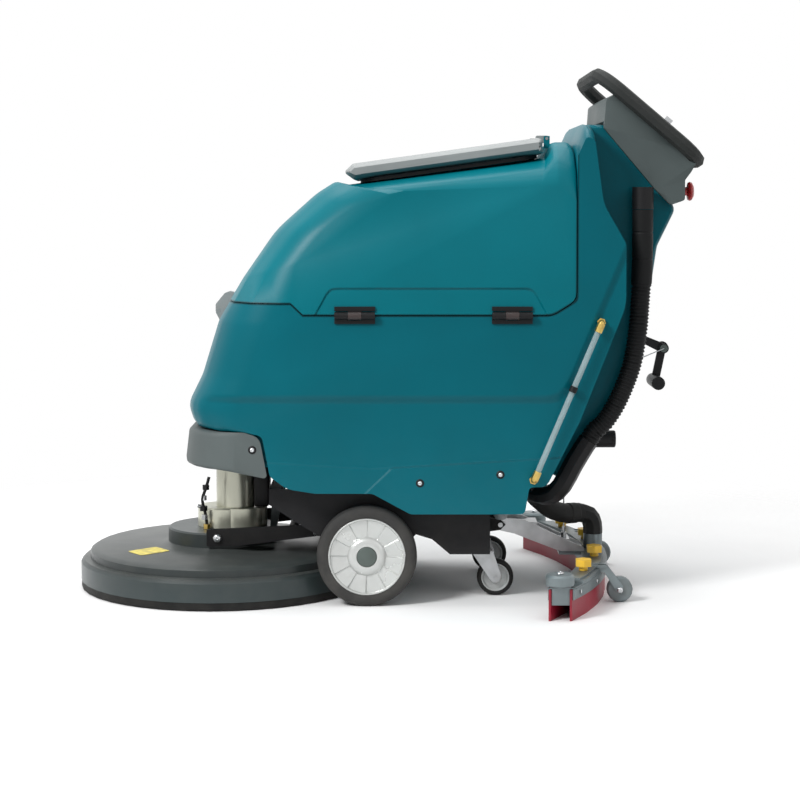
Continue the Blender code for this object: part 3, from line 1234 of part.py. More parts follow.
def controls():
    """The sloping panel with its key, two rocker switches and a dial."""
    seat = GAP
    panel = plate("control_panel", BLACK_PLASTIC, rounded([
        (0.022, -0.150, 0.012), (0.022, 0.150, 0.012), (0.182, 0.150, 0.012), (0.182, -0.150, 0.012),
    ], 2), 0, PANEL_THICKNESS, upright=False)
    top = PANEL_THICKNESS + GAP
    pocket = 0.0018
    key_y, dial_y, switch_y = -0.100, 0.100, (-0.030, 0.030)
    cut(panel, cylinder("key_pocket", BLACK_PLASTIC, (0.120, key_y, 0.004), 0.0123, 0.0044))
    cut(panel, cylinder("dial_pocket", BLACK_PLASTIC, (0.120, dial_y, 0.004), DIAL_RADIUS + SLIP, 0.0044))
    for y in switch_y:
        cut(panel, box("switch_pocket", BLACK_PLASTIC, (0.1035, y - 0.0115, pocket),
                       (0.1365, y + 0.0115, 0.010)))
    tilted(evaluated_in_place(panel), 0, seat)
    key = turned("key_switch", ZINC, [
        (0, 0.0095), (0.0095, 0.0090), (0.0120, 0.0060), (0.0120, 0), (0, 0),
    ], (0.120, key_y, pocket + GAP), Z, 20)
    join(key, box("key_bow", ZINC, (0.112, key_y - 0.0014, pocket + 0.006),
                  (0.128, key_y + 0.0014, pocket + 0.034)))
    tilted(evaluated_in_place(key), 0, seat)
    dial = turned("water_dial", BLACK_PLASTIC, [
        (0, 0.0180), (DIAL_RADIUS * 0.85, 0.0180), (DIAL_RADIUS * 0.95, 0.0165), (DIAL_RADIUS, 0), (0, 0),
    ], (0.120, dial_y, pocket + GAP), Z, 24)
    tilted(evaluated_in_place(dial), 0, seat)
    for name, y in zip(("brush_switch", "suction_switch"), switch_y):
        rocker = plate(name, RED, [
            (0.1045, 0.0060), (0.1065, 0.0085), (0.1200, 0.0050), (0.1335, 0.0085),
            (0.1355, 0.0060), (0.1200, 0.0022),
        ], y - 0.0110, y + 0.0110)
        tilted(rocker, 0, seat)


# ---------------------------------------------------------------- hoses and fittings


def hoses():
    """The suction pipe from the column's side, the hose down to the fixed pipe under the
    tank, and the short hose on to the squeegee's elbow."""
    top, foot = Vector(HOSE_TOP), Vector(HOSE_FOOT)
    fall = Vector((-0.0140, 0, -0.0210)).normalized()
    route = [top - Z * GAP, top - Z * 0.020] + smooth_route([
        top - Z * 0.040, (0.5115, HOSE_Y, 0.7050), (0.5110, HOSE_Y, 0.6670), (0.5075, HOSE_Y, 0.6070),
        (0.5030, HOSE_Y, 0.5470), (0.4935, HOSE_Y, 0.4870), (0.4795, HOSE_Y, 0.4430),
        (0.4600, HOSE_Y, 0.3990), (0.4380, HOSE_Y, 0.3650), foot - fall * 0.022,
    ], 0.032) + [foot - fall * GAP]
    tube("suction_hose", RUBBER, route, HOSE_RADIUS, 2)
    cuff = HOSE_RADIUS + CUFF_WALL
    inlet = cylinder("suction_inlet", BLACK_PLASTIC, top + Z * 0.0220, cuff, 0.044, Z, 20)
    join(inlet, cylinder("inlet_arm", BLACK_PLASTIC, (top.x, (HOSE_Y - COLUMN_INNER - SLIP) / 2, top.z + 0.024),
                         cuff - 0.003, abs(HOSE_Y + COLUMN_INNER + SLIP), Y, 20))
    evaluated_in_place(inlet)
    pipe = tube("fixed_pipe", BLACK_PLASTIC, [foot] + smooth_route([
        foot + fall * 0.014, (0.3760, HOSE_Y, 0.2790), (0.3560, -0.1970, 0.2400), (0.3400, -0.1840, 0.2180),
        (0.3220, -0.1580, 0.2095), (0.3090, -0.1270, 0.2090), (0.3040, -0.1010, 0.2060),
        (0.3060, -0.0830, 0.1990),
    ], 0.022) + [OUTLET], LOWER_HOSE_RADIUS, 2)
    join(pipe, box("pipe_foot", BLACK_PLASTIC, (0.2950, -0.1450, 0.2150), (0.3130, -0.1150, 0.2410 - GAP)))
    evaluated_in_place(pipe)
    outlet_run = (Vector(OUTLET) - Vector((0.3060, -0.0830, 0.1990))).normalized()
    port = Vector((SQUEEGEE_REAR_X - SQUEEGEE_DEPTH / 2, 0, PORT_TOP + GAP))
    mouth = Vector(ELBOW_MOUTH)
    bend = smooth_route([
        port + Z * 0.008, port + Vector((-0.0020, 0, 0.0250)),
        port + Vector((-0.0115, -0.0040, 0.0395)), mouth,
    ], 0.012)
    tube("squeegee_elbow", RUBBER, [port] + bend, LOWER_HOSE_RADIUS, 2)
    start = Vector(OUTLET) + outlet_run * GAP * 2
    run = (bend[-1] - bend[-2]).normalized()
    tube("squeegee_hose", RUBBER, [start] + smooth_route([
        start + outlet_run * 0.008, (0.3420, -0.0560, 0.1650), (0.3720, -0.0380, 0.1530),
        mouth + run * 0.012,
    ], 0.016) + [mouth + run * GAP * 2], LOWER_HOSE_RADIUS, 2)


def level_gauge():
    """The level tube down the tank's side, with its elbow fitting at each end."""
    (top_x, top_z), (foot_x, foot_z) = LEVEL_TOP, LEVEL_FOOT
    top, foot = Vector((top_x, LEVEL_Y, top_z)), Vector((foot_x, LEVEL_Y, foot_z))
    seat = -BODY_HALF_WIDTH - GAP
    gauge = tube("level_tube", CLEAR, [
        Vector((top_x, seat, top_z)), Vector((top_x, LEVEL_Y + 0.005, top_z)), top.lerp(foot, 0.015),
        top.lerp(foot, 0.985), Vector((foot_x, LEVEL_Y + 0.005, foot_z)), Vector((foot_x, seat, foot_z)),
    ], LEVEL_RADIUS, 2)
    for end in (top, foot):
        join(gauge, cylinder("nut", BRASS, (end.x, seat - 0.0035, end.z), LEVEL_RADIUS * 1.6, 0.007, Y, 6))
    evaluated_in_place(gauge)


def drain():
    """The drain neck's cap behind the tank, and the solution filter's bowl under it."""
    x = DRAIN_CAP_X
    cap = turned("drain_cap", BLACK_PLASTIC, [
        (0, 0.0420), (DRAIN_RADIUS * 0.9, 0.0420), (DRAIN_RADIUS, 0.0400), (DRAIN_RADIUS, 0),
        (DRAIN_NECK + SLIP, 0), (DRAIN_NECK + SLIP, 0.0215), (0, 0.0215),
    ], (x, DRAIN_Y, DRAIN_Z), X, 24)
    join(cap, box("cap_grip", BLACK_PLASTIC, (x + 0.036, DRAIN_Y - 0.0200, DRAIN_Z - 0.0040),
                  (x + 0.041, DRAIN_Y + 0.0200, DRAIN_Z + 0.0040)))
    evaluated_in_place(cap)
    filter_x, filter_y = FILTER_AT
    turned("filter_bowl", CLEAR, [
        (0, TANK_FLOOR_REAR - GAP), (0.0170, TANK_FLOOR_REAR - GAP), (0.0170, 0.1750), (0.0150, 0.1740),
        (0.0145, 0.1600), (0.0100, 0.1540), (0, 0.1530),
    ], (filter_x, filter_y, 0), Z, 20)


# ---------------------------------------------------------------- squeegee lever


def lever():
    """The lever that lifts the squeegee, on a bracket behind the column, and its cable."""
    (x, z), (end_x, end_z) = LEVER_PIVOT, LEVER_END
    bracket = plate("lever_bracket", BLACK_PLASTIC, rounded([
        (0.4950, 0.5050, 0.004), (0.4950, 0.5420, 0.004), (x - 0.010, z + 0.014, 0.010),
        (x + 0.013, z + 0.006, 0.012), (x + 0.004, z - 0.014, 0.012), (0.5420, 0.5050, 0.010),
    ], 2), -0.0090, 0.0090)
    cut(bracket, column("column_face", GAP))
    cut(bracket, cylinder("lever_bore", BLACK_PLASTIC, (x, 0, z), PIVOT_PIN + GAP, 0.1, Y, 16))
    evaluated_in_place(bracket)
    run = Vector((end_x - x, end_z - z)).normalized()
    side = Vector((-run.y, run.x)) * 0.0085
    arm = plate("squeegee_lever", BLACK_PLASTIC, [
        (x - side.x - run.x * 0.010, z - side.y - run.y * 0.010),
        (x + side.x - run.x * 0.010, z + side.y - run.y * 0.010),
        (end_x + side.x, end_z + side.y), (end_x - side.x, end_z - side.y),
    ], 0.0095, 0.0155)
    join(
        arm,
        cylinder("lever_hub", BLACK_PLASTIC, (x, 0.0125, z), 0.0130, 0.0060, Y, 20),
        cylinder("lever_pin", BLACK_PLASTIC, (x, 0, z), PIVOT_PIN, 0.0280, Y, 16),
        cylinder("lever_washer", BLACK_PLASTIC, (x, -0.0120, z), 0.0110, 0.0050, Y, 20),
        cylinder("lever_grip", BLACK_PLASTIC, (end_x, 0, end_z), LEVER_GRIP_RADIUS, LEVER_GRIP_LENGTH, Y, 20),
    )
    evaluated_in_place(arm)
    cable_x, cable_foot = CABLE_FOOT
    cylinder("lift_cable", ZINC, (cable_x, 0, (cable_foot + GAP + CABLE_TOP_Z) / 2), 0.0015,
             CABLE_TOP_Z - cable_foot - GAP, Z, 8)


# ---------------------------------------------------------------- build

solution_tank()
recovery_tank()
recovery_lid()
for number, place_x in enumerate(HINGE_X, 1):
    tank_hinge(number, place_x)
tank_latch()
chassis_frame()
wheels()
caster("left", -1)
caster("right", 1)
batteries()
vacuum_motor()
front_bumper()
deck()
lift_arms()
squeegee()
squeegee_arm()
console()
controls()
hoses()
level_gauge()
drain()
lever()
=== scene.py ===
"""The looks of the walk-behind floor scrubber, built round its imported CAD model. Metres, +Z up,
-X the brush end, +X the operator's end, -Y the side with the hose."""

import json
import math

import bmesh
import bpy
from mathutils import Matrix, Vector


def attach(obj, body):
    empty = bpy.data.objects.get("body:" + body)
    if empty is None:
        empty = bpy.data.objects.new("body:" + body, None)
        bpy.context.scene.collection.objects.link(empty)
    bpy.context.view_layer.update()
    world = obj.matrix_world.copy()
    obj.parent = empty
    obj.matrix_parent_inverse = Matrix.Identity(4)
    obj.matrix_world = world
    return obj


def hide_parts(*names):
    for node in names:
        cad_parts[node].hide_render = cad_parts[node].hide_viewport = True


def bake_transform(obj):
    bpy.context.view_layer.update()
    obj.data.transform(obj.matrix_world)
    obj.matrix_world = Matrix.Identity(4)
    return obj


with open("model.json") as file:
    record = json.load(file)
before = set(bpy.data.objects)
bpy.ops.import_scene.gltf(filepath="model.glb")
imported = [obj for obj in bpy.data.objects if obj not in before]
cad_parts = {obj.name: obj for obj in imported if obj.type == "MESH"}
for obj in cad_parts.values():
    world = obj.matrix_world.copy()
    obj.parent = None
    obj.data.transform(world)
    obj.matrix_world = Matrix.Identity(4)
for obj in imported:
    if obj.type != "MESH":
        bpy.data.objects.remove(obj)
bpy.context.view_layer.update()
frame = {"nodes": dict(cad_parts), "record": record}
nodes = frame["nodes"]
record = frame["record"]

X, Y, Z = Vector((1, 0, 0)), Vector((0, 1, 0)), Vector((0, 0, 1))


# ---------------------------------------------------------------- materials

def linear(rgb):
    """A colour in 0 to 255 as shown, turned into the linear values that shaders take."""
    return [((v / 255 + 0.055) / 1.055) ** 2.4 if v > 10 else v / 3294.6 for v in rgb] + [1.0]


def new_material(name):
    mat = bpy.data.materials.new(name)
    mat.use_nodes = True
    tree = mat.node_tree
    return mat, tree, tree.nodes["Principled BSDF"]


def noise(tree, coords, scale, detail=3.0, stretch=(1, 1, 1)):
    """A noise texture in object space, scale in cells to the metre."""
    mapping = tree.nodes.new("ShaderNodeMapping")
    mapping.inputs["Scale"].default_value = stretch
    tree.links.new(coords, mapping.inputs["Vector"])
    texture = tree.nodes.new("ShaderNodeTexNoise")
    texture.inputs["Scale"].default_value = scale
    texture.inputs["Detail"].default_value = detail
    tree.links.new(mapping.outputs["Vector"], texture.inputs["Vector"])
    return texture.outputs["Fac"]


def ramp(tree, value, stops):
    """A colour ramp over a value; stops are (position, linear colour)."""
    node = tree.nodes.new("ShaderNodeValToRGB")
    elements = node.color_ramp.elements
    while len(elements) < len(stops):
        elements.new(0.5)
    for element, (position, colour) in zip(elements, stops):
        element.position, element.color = position, colour
    tree.links.new(value, node.inputs["Fac"])
    return node.outputs["Color"]


def spread(tree, value, low, high, to_low, to_high, soft=False):
    """The value moved from one range to another, and held at its ends."""
    node = tree.nodes.new("ShaderNodeMapRange")
    if soft:
        node.interpolation_type = "SMOOTHSTEP"
    for key, number in (("From Min", low), ("From Max", high), ("To Min", to_low), ("To Max", to_high)):
        node.inputs[key].default_value = number
    tree.links.new(value, node.inputs["Value"])
    return node.outputs["Result"]


def step_at(tree, value, width, height):
    """A smooth step of the surface where the value passes zero."""
    return spread(tree, value, -width, width, 0.0, height, soft=True)


def maths(tree, operation, *values):
    """A maths node over sockets or numbers."""
    node = tree.nodes.new("ShaderNodeMath")
    node.operation = operation
    for socket, value in zip(node.inputs, values):
        if isinstance(value, (int, float)):
            socket.default_value = value
        else:
            tree.links.new(value, socket)
    return node.outputs[0]


def parts_of(tree, vector):
    """The three numbers of a vector."""
    split = tree.nodes.new("ShaderNodeSeparateXYZ")
    tree.links.new(vector, split.inputs["Vector"])
    return split.outputs


def places(tree, coords):
    """X, the distance from the middle plane, and Z."""
    x, y, z = parts_of(tree, coords)
    return x, maths(tree, "ABSOLUTE", y), z


def blended(tree, colour, rgb, amount):
    """A colour that turns into rgb by an amount from 0 to 1."""
    node = tree.nodes.new("ShaderNodeMix")
    node.data_type = "RGBA"
    factor, before, after = node.inputs[0], node.inputs[6], node.inputs[7]
    after.default_value = linear(rgb)
    tree.links.new(amount, factor)
    tree.links.new(colour, before)
    return node.outputs[2]


def bumped(tree, height, distance):
    """A bump node over a height, as a node whose Normal input is still free."""
    node = tree.nodes.new("ShaderNodeBump")
    node.inputs["Strength"].default_value = 1.0
    node.inputs["Distance"].default_value = distance
    tree.links.new(height, node.inputs["Height"])
    return node


def shade(rgb, factor):
    return [min(255, v * factor) for v in rgb]


DUST_RGB = (150, 145, 135)
DUST_REACH = 0.35        # height above the floor at which the dust ends
# Colour of the painted reflection that makes faces which look up paler.
PAINTED_REFLECTION_RGB = (150, 152, 148)


def finish_of(name, rgb, rough, metal=0.0, patch=(0.10, 4.0), grain=(0.0002, 900.0), stretch=(1, 1, 1),
              dust=0.0, top_reflection=0.0, wear=0.0, specular=0.5, alpha=1.0, relief=None, joint_shade=None):
    """A surface with uneven colour and roughness, a fine grain, dust low down and worn edges, and where asked
    a painted reflection on faces that look up and painted shade in a joint.
    patch is (how much the colour varies, cells to the metre); grain is (height, cells).
    settled is how pale the painted reflection makes the faces that look up. relief gives the moulded
    height of the surface, and groove how dark the painted shade in a joint is."""
    mat, tree, shader = new_material(name)
    coords = tree.nodes.new("ShaderNodeTexCoord").outputs["Object"]
    broad = noise(tree, coords, patch[1], 4.0, stretch)
    fine = noise(tree, coords, grain[1], 2.0, stretch)
    colour = ramp(tree, broad, [
        (0.30, linear(shade(rgb, 1 - patch[0]))), (0.70, linear(shade(rgb, 1 + patch[0]))),
    ])
    if dust:
        low_down = spread(tree, parts_of(tree, coords)["Z"], 0.0, DUST_REACH, dust, 0.0)
        patchy = spread(tree, noise(tree, coords, 30.0, 6.0), 0.35, 0.65, 0.3, 1.0)
        colour = blended(tree, colour, DUST_RGB, maths(tree, "MULTIPLY", low_down, patchy))
    if top_reflection:
        # Painted reflection: faces that look up turn paler in patches, as if they mirrored the bright room.
        normal = tree.nodes.new("ShaderNodeNewGeometry").outputs["Normal"]
        upward = spread(tree, parts_of(tree, normal)["Z"], 0.6, 0.98, 0.0, top_reflection)
        reflection_patches = spread(tree, noise(tree, coords, 22.0, 6.0), 0.3, 0.7, 0.6, 1.0)
        colour = blended(tree, colour, PAINTED_REFLECTION_RGB, maths(tree, "MULTIPLY", upward, reflection_patches))
    # Painted shade: the colour darkens where shade falls in the gap of a joint.
    if joint_shade:
        colour = blended(tree, colour, shade(rgb, 0.30), joint_shade(tree, coords))
    if wear:
        edge = tree.nodes.new("ShaderNodeNewGeometry").outputs["Pointiness"]
        colour = blended(tree, colour, shade(rgb, 1.6), spread(tree, edge, 0.52, 0.60, 0.0, wear))
    tree.links.new(colour, shader.inputs["Base Color"])
    tree.links.new(spread(tree, broad, 0.3, 0.7, rough * 0.85, min(1, rough * 1.15)),
                   shader.inputs["Roughness"])
    bump = bumped(tree, fine, grain[0])
    if relief:
        moulded = bumped(tree, relief(tree, coords), 1.0)
        tree.links.new(moulded.outputs["Normal"], bump.inputs["Normal"])
    tree.links.new(bump.outputs["Normal"], shader.inputs["Normal"])
    shader.inputs["Metallic"].default_value = metal
    shader.inputs["Specular IOR Level"].default_value = specular
    shader.inputs["Alpha"].default_value = alpha
    return mat


# ---------------------------------------------------------------- the tanks' moulded sides, and the painted shade in their joint

SEAM_LEVEL = 0.5810      # height of the joint between the tanks
SEAM_FRONT = 0.6040      # its higher level at the nose
SEAM_STEP = (-0.1880, -0.1640)   # X of the slope between the two levels
SEAM_REAR = 0.3760       # X of its upright part in front of the column
SEAM_CORNER = 0.048      # how far ahead of that its slanting corner starts
# The dark line of the seam is painted shade: its half width and how dark it is.
SEAM_HALF_WIDTH = (0.0016, 0.0038)   # half the width of the dark line: in full, and where it ends
SEAM_PAINTED_SHADE = 0.85
PANEL_FOOT = 0.4150      # lower edge of the raised panel on the lower tank
PANEL_SLANT = (0.42, 0.176)   # its rear edge: X from Z, as slope and start
PANEL_DEPTH = 0.0055
LEDGE = (0.060, 0.2770)  # top of the ledge along the bottom: its fall from the middle, and its height
LEDGE_DEPTH = 0.0068
LEDGE_END = (1.05, -0.281)    # the bevel at its end: X from Z
LEDGE_END_DEPTH = 0.0030
LOWER_DRAFT = 0.05       # how much the side leans in below the panel
RECESS_MIDDLE = 0.0890   # recess along the hinges: middle, half length and upper lip
RECESS_HALF = 0.2130
RECESS_LIP = 0.6340
RECESS_SLANT = 0.55      # lean of its two ends
RECESS_LEVEL = 0.61      # height at which its half length is the one above
RECESS_DEPTH = 0.0040
UPPER_DRAFT = (0.13, 0.70)    # lean of the upper tank's side, and the height at which it is plumb
FLAT_SIDE = 0.225        # distance from the middle plane at which the moulded sides start


def on_sides(tree, y):
    return step_at(tree, maths(tree, "SUBTRACT", y, FLAT_SIDE), 0.02, 1.0)


def lower_relief(tree, coords):
    """The moulded side of the lower tank: a raised upper panel, bounded below and behind by a
    soft shoulder, and a ledge with a bevelled end along the bottom."""
    x, y, z = places(tree, coords)
    below = maths(tree, "SUBTRACT", PANEL_FOOT, z)
    behind = maths(tree, "SUBTRACT", x, maths(tree, "MULTIPLY_ADD", z, *PANEL_SLANT))
    corner = maths(tree, "SMOOTH_MAX", below, behind, 0.05)
    panel = step_at(tree, corner, 0.010, -PANEL_DEPTH)
    from_middle = maths(tree, "ABSOLUTE", maths(tree, "ADD", x, 0.03))
    beneath = maths(tree, "SUBTRACT", maths(tree, "MULTIPLY_ADD", from_middle, *LEDGE), z)
    ledge = step_at(tree, beneath, 0.0035, LEDGE_DEPTH)
    crease = maths(tree, "SUBTRACT", maths(tree, "MULTIPLY_ADD", z, *LEDGE_END), x)
    cut_off = step_at(tree, crease, 0.0040, -LEDGE_END_DEPTH)
    under = step_at(tree, beneath, 0.0035, 1.0)
    lower_down = maths(tree, "MINIMUM", maths(tree, "SUBTRACT", z, PANEL_FOOT), 0.0)
    draft = maths(tree, "MULTIPLY", lower_down, LOWER_DRAFT)
    total = maths(tree, "ADD", maths(tree, "ADD", panel, ledge), maths(tree, "MULTIPLY", cut_off, under))
    total = maths(tree, "ADD", total, draft)
    return maths(tree, "MULTIPLY", total, on_sides(tree, y))


def upper_relief(tree, coords):
    """The shallow recess along the hinges of the upper tank, and the lean of its sides."""
    x, y, z = places(tree, coords)
    half = maths(tree, "MULTIPLY_ADD", z, -RECESS_SLANT, RECESS_HALF + RECESS_SLANT * RECESS_LEVEL)
    from_middle = maths(tree, "ABSOLUTE", maths(tree, "SUBTRACT", x, RECESS_MIDDLE))
    across = maths(tree, "SUBTRACT", from_middle, half)
    over = maths(tree, "SUBTRACT", z, RECESS_LIP)
    recess = step_at(tree, maths(tree, "SMOOTH_MAX", across, over, 0.02), 0.0030, RECESS_DEPTH)
    lean, plumb_at = UPPER_DRAFT
    draft = maths(tree, "MULTIPLY_ADD", z, -lean, lean * plumb_at)
    return maths(tree, "MULTIPLY_ADD", recess, on_sides(tree, y),
                 maths(tree, "MULTIPLY", draft, spread(tree, y, 0.10, 0.25, 0.0, 1.0)))


def seam_painted_shade(tree, coords):
    """Painted shade in the shadow gap of the joint between the two tanks: dark in it, and 0 a few
    millimetres away and on the faces that meet there."""
    x, _, z = places(tree, coords)
    level = spread(tree, x, *SEAM_STEP, SEAM_FRONT, SEAM_LEVEL)
    under = maths(tree, "SUBTRACT", level, z)
    ahead, up = 0.530, 0.848     # direction square to the slanting corner
    corner = maths(tree, "SUBTRACT",
                   maths(tree, "MULTIPLY_ADD", x, ahead, -ahead * (SEAM_REAR - SEAM_CORNER)),
                   maths(tree, "MULTIPLY_ADD", z, up, -up * SEAM_LEVEL))
    behind = maths(tree, "SUBTRACT", x, SEAM_REAR)
    outside = maths(tree, "SMOOTH_MAX", maths(tree, "SMOOTH_MAX", under, corner, 0.012), behind, 0.012)
    line = spread(tree, maths(tree, "ABSOLUTE", outside), *SEAM_HALF_WIDTH, SEAM_PAINTED_SHADE, 0.0)
    facing = parts_of(tree, tree.nodes.new("ShaderNodeTexCoord").outputs["Normal"])
    upright_part = maths(tree, "GREATER_THAN", x, 0.30)
    across = maths(tree, "MULTIPLY", maths(tree, "ABSOLUTE", facing["X"]), upright_part)
    mating = maths(tree, "MAXIMUM", maths(tree, "ABSOLUTE", facing["Z"]), across)
    return maths(tree, "MULTIPLY", line, spread(tree, mating, 0.50, 0.68, 1.0, 0.0))


# ---------------------------------------------------------------- finishes

TEAL_RGB = (0, 108, 120)
TEAL_LOOK = dict(rough=0.34, patch=(0.05, 3.0), grain=(0.00012, 260.0), dust=0.03, specular=0.14)
TEAL = finish_of("teal_polyethylene", TEAL_RGB, **TEAL_LOOK)
# The lower tank gets a darker copy of the same teal: painted shade, for the less light that falls on it.
SHADED_LOWER_TEAL = finish_of("teal_lower_tank_painted_shade", (0, 97, 110), relief=lower_relief, joint_shade=seam_painted_shade,
                       **TEAL_LOOK)
UPPER_TEAL = finish_of("teal_upper_tank", TEAL_RGB, relief=upper_relief, joint_shade=seam_painted_shade,
                       **TEAL_LOOK)
LID = finish_of("lid_grey_plastic", (146, 150, 150), 0.50, patch=(0.05, 6.0), grain=(0.00015, 700.0))
BUMPER = finish_of("bumper_grey_plastic", (84, 92, 92), 0.55, patch=(0.06, 6.0), dust=0.05, specular=0.35)
CONSOLE = finish_of("console_grey_plastic", (80, 90, 90), 0.52, patch=(0.06, 7.0), grain=(0.0002, 800.0),
                    specular=0.35)
# The deck's faces that look up carry a painted reflection, paler in patches.
DECK = finish_of("deck_grey_paint", (36, 44, 45), 0.32, patch=(0.08, 5.0), dust=0.06, wear=0.5, top_reflection=0.14,
                 specular=0.35)
FRAME = finish_of("black_powder_coat", (19, 19, 21), 0.45, patch=(0.15, 9.0), grain=(0.00025, 1400.0),
                  dust=0.05, wear=0.4, specular=0.18)
BLACK = finish_of("black_plastic", (17, 17, 19), 0.42, patch=(0.15, 12.0), dust=0.03, specular=0.22)
RUBBER = finish_of("black_rubber", (20, 21, 22), 0.55, patch=(0.15, 14.0), grain=(0.0003, 1500.0),
                   dust=0.05, specular=0.16)
TYRE = finish_of("tyre_rubber", (48, 48, 48), 0.70, patch=(0.12, 20.0), grain=(0.0004, 1200.0),
                 dust=0.12, specular=0.3)
ZINC = finish_of("zinc_plate", (176, 178, 180), 0.32, metal=0.9, patch=(0.12, 18.0),
                 grain=(0.0001, 1500.0), dust=0.1)
RIM = finish_of("rim_silver", (198, 200, 198), 0.26, metal=0.55, patch=(0.05, 12.0), dust=0.05)
CAP = finish_of("hub_cap_grey", (82, 92, 88), 0.45, patch=(0.08, 20.0))
MOTOR = finish_of("motor_can", (194, 194, 178), 0.30, metal=0.6, patch=(0.08, 6.0), grain=(0.00008, 600.0),
                  stretch=(1, 1, 0.05))
BRASS = finish_of("brass", (196, 168, 96), 0.32, metal=0.95, patch=(0.12, 60.0))
CLEAR = finish_of("clear_tube", (186, 204, 207), 0.18, patch=(0.04, 20.0), grain=(0.00005, 300.0),
                  alpha=0.42)
BOWL = finish_of("filter_bowl", (158, 164, 166), 0.25, patch=(0.05, 40.0), alpha=0.9)
YELLOW = finish_of("yellow_plastic", (238, 190, 52), 0.38, patch=(0.07, 30.0))
RED = finish_of("red_plastic", (196, 28, 32), 0.30, patch=(0.06, 30.0))
BLADE = finish_of("red_polyurethane", (142, 18, 42), 0.45, patch=(0.08, 14.0), grain=(0.0001, 300.0))
CAST = finish_of("squeegee_casting", (98, 106, 108), 0.40, metal=0.5, patch=(0.10, 14.0),
                 grain=(0.0003, 900.0), wear=0.4)
BRISTLE = finish_of("bristle_nylon", (44, 62, 90), 0.80, patch=(0.30, 600.0), grain=(0.001, 900.0),
                    stretch=(1, 1, 0.05))
BATTERY = finish_of("battery_case", (52, 54, 58), 0.50, patch=(0.08, 12.0))
HANDLE = finish_of("handle_soft_grip", (38, 41, 40), 0.70, patch=(0.10, 30.0), grain=(0.0006, 1400.0),
                   specular=0.35)
BARREL = finish_of("hinge_barrel_brown", (44, 32, 31), 0.42, patch=(0.12, 60.0))
SCREW = finish_of("screw_head", (196, 198, 200), 0.25, metal=0.9, patch=(0.10, 200.0))
SILL = finish_of("caster_hub_grey", (186, 190, 190), 0.42, patch=(0.06, 40.0), dust=0.2)
GREY_RUBBER = finish_of("grey_wheel_rubber", (104, 116, 120), 0.50, patch=(0.08, 40.0), dust=0.2)
STICKER = finish_of("plain_yellow_sticker", (206, 190, 92), 0.50, patch=(0.14, 90.0))

NODE_FINISH = {
    "solution_tank": SHADED_LOWER_TEAL, "recovery_tank": UPPER_TEAL,
    "handle_loop": HANDLE, "left_support_wheel": GREY_RUBBER, "right_support_wheel": GREY_RUBBER,
}

SLOT_FINISH = {
    "tank_teal": TEAL, "lid_grey": LID, "bumper_grey": BUMPER, "console_grey": CONSOLE,
    "deck_grey": DECK, "frame_black": FRAME, "black_plastic": BLACK, "rubber": RUBBER,
    "tyre": TYRE, "zinc": ZINC, "rim_silver": RIM, "motor_silver": MOTOR, "clear_tube": CLEAR,
    "bowl_grey": BOWL, "yellow_plastic": YELLOW, "red_plastic": RED, "blade_red": BLADE,
    "squeegee_grey": CAST, "bristle": BRISTLE, "battery_case": BATTERY,
}


def dress_nodes():
    """Gives each CAD node the finish of its material slot, and smooth shading."""
    slots = {part["node"]: part["material_slot"] for part in record["subparts"]}
    for name, node in nodes.items():
        mat = NODE_FINISH.get(name) or SLOT_FINISH[slots[name]]
        if not node.data.materials:
            node.data.materials.append(mat)
        for i in range(len(node.data.materials)):
            node.data.materials[i] = mat
        weld = node.modifiers.new("weld", "WELD")
        weld.merge_threshold = 0.00001
        smooth = node.modifiers.new("smooth", "NODES")
        smooth.node_group = smooth_by_angle()


def smooth_by_angle():
    """A modifier that shades faces smooth and keeps edges over 35 degrees sharp."""
    if "smooth_by_angle" in bpy.data.node_groups:
        return bpy.data.node_groups["smooth_by_angle"]
    group = bpy.data.node_groups.new("smooth_by_angle", "GeometryNodeTree")
    group.interface.new_socket("Geometry", in_out="INPUT", socket_type="NodeSocketGeometry")
    group.interface.new_socket("Geometry", in_out="OUTPUT", socket_type="NodeSocketGeometry")
    start, end = group.nodes.new("NodeGroupInput"), group.nodes.new("NodeGroupOutput")
    angle = group.nodes.new("GeometryNodeInputMeshEdgeAngle")
    sharp = group.nodes.new("FunctionNodeCompare")
    sharp.data_type = "FLOAT"
    sharp.operation = "GREATER_THAN"
    sharp.inputs["B"].default_value = math.radians(35)
    faces = group.nodes.new("GeometryNodeSetShadeSmooth")
    edges = group.nodes.new("GeometryNodeSetShadeSmooth")
    faces.domain, edges.domain = "FACE", "EDGE"
    join = group.links.new
    join(angle.outputs["Unsigned Angle"], sharp.inputs["A"])
    flat = group.nodes.new("FunctionNodeBooleanMath")
    flat.operation = "NOT"
    join(sharp.outputs["Result"], flat.inputs[0])
    join(start.outputs[0], faces.inputs["Geometry"])
    join(faces.outputs[0], edges.inputs["Geometry"])
    join(flat.outputs[0], edges.inputs["Shade Smooth"])
    join(edges.outputs[0], end.inputs[0])
    return group


# ---------------------------------------------------------------- shapes

def link(obj, mat, body, *replaced, angle=40):
    """Puts a new piece in the scene with its finish, riding on a CAD body."""
    if obj.name not in bpy.context.scene.collection.all_objects:
        bpy.context.scene.collection.objects.link(obj)
    obj.data.materials.clear()
    obj.data.materials.append(mat)
    if obj.type == "MESH":
        obj.data.shade_smooth()
        obj.data.set_sharp_from_angle(angle=math.radians(angle))
    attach(obj, body)
    if replaced:
        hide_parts(*replaced)
    return obj


def mesh_object(name, bm):
    bmesh.ops.recalc_face_normals(bm, faces=bm.faces)
    mesh = bpy.data.meshes.new(name)
    bm.to_mesh(mesh)
    bm.free()
    return bpy.data.objects.new(name, mesh)


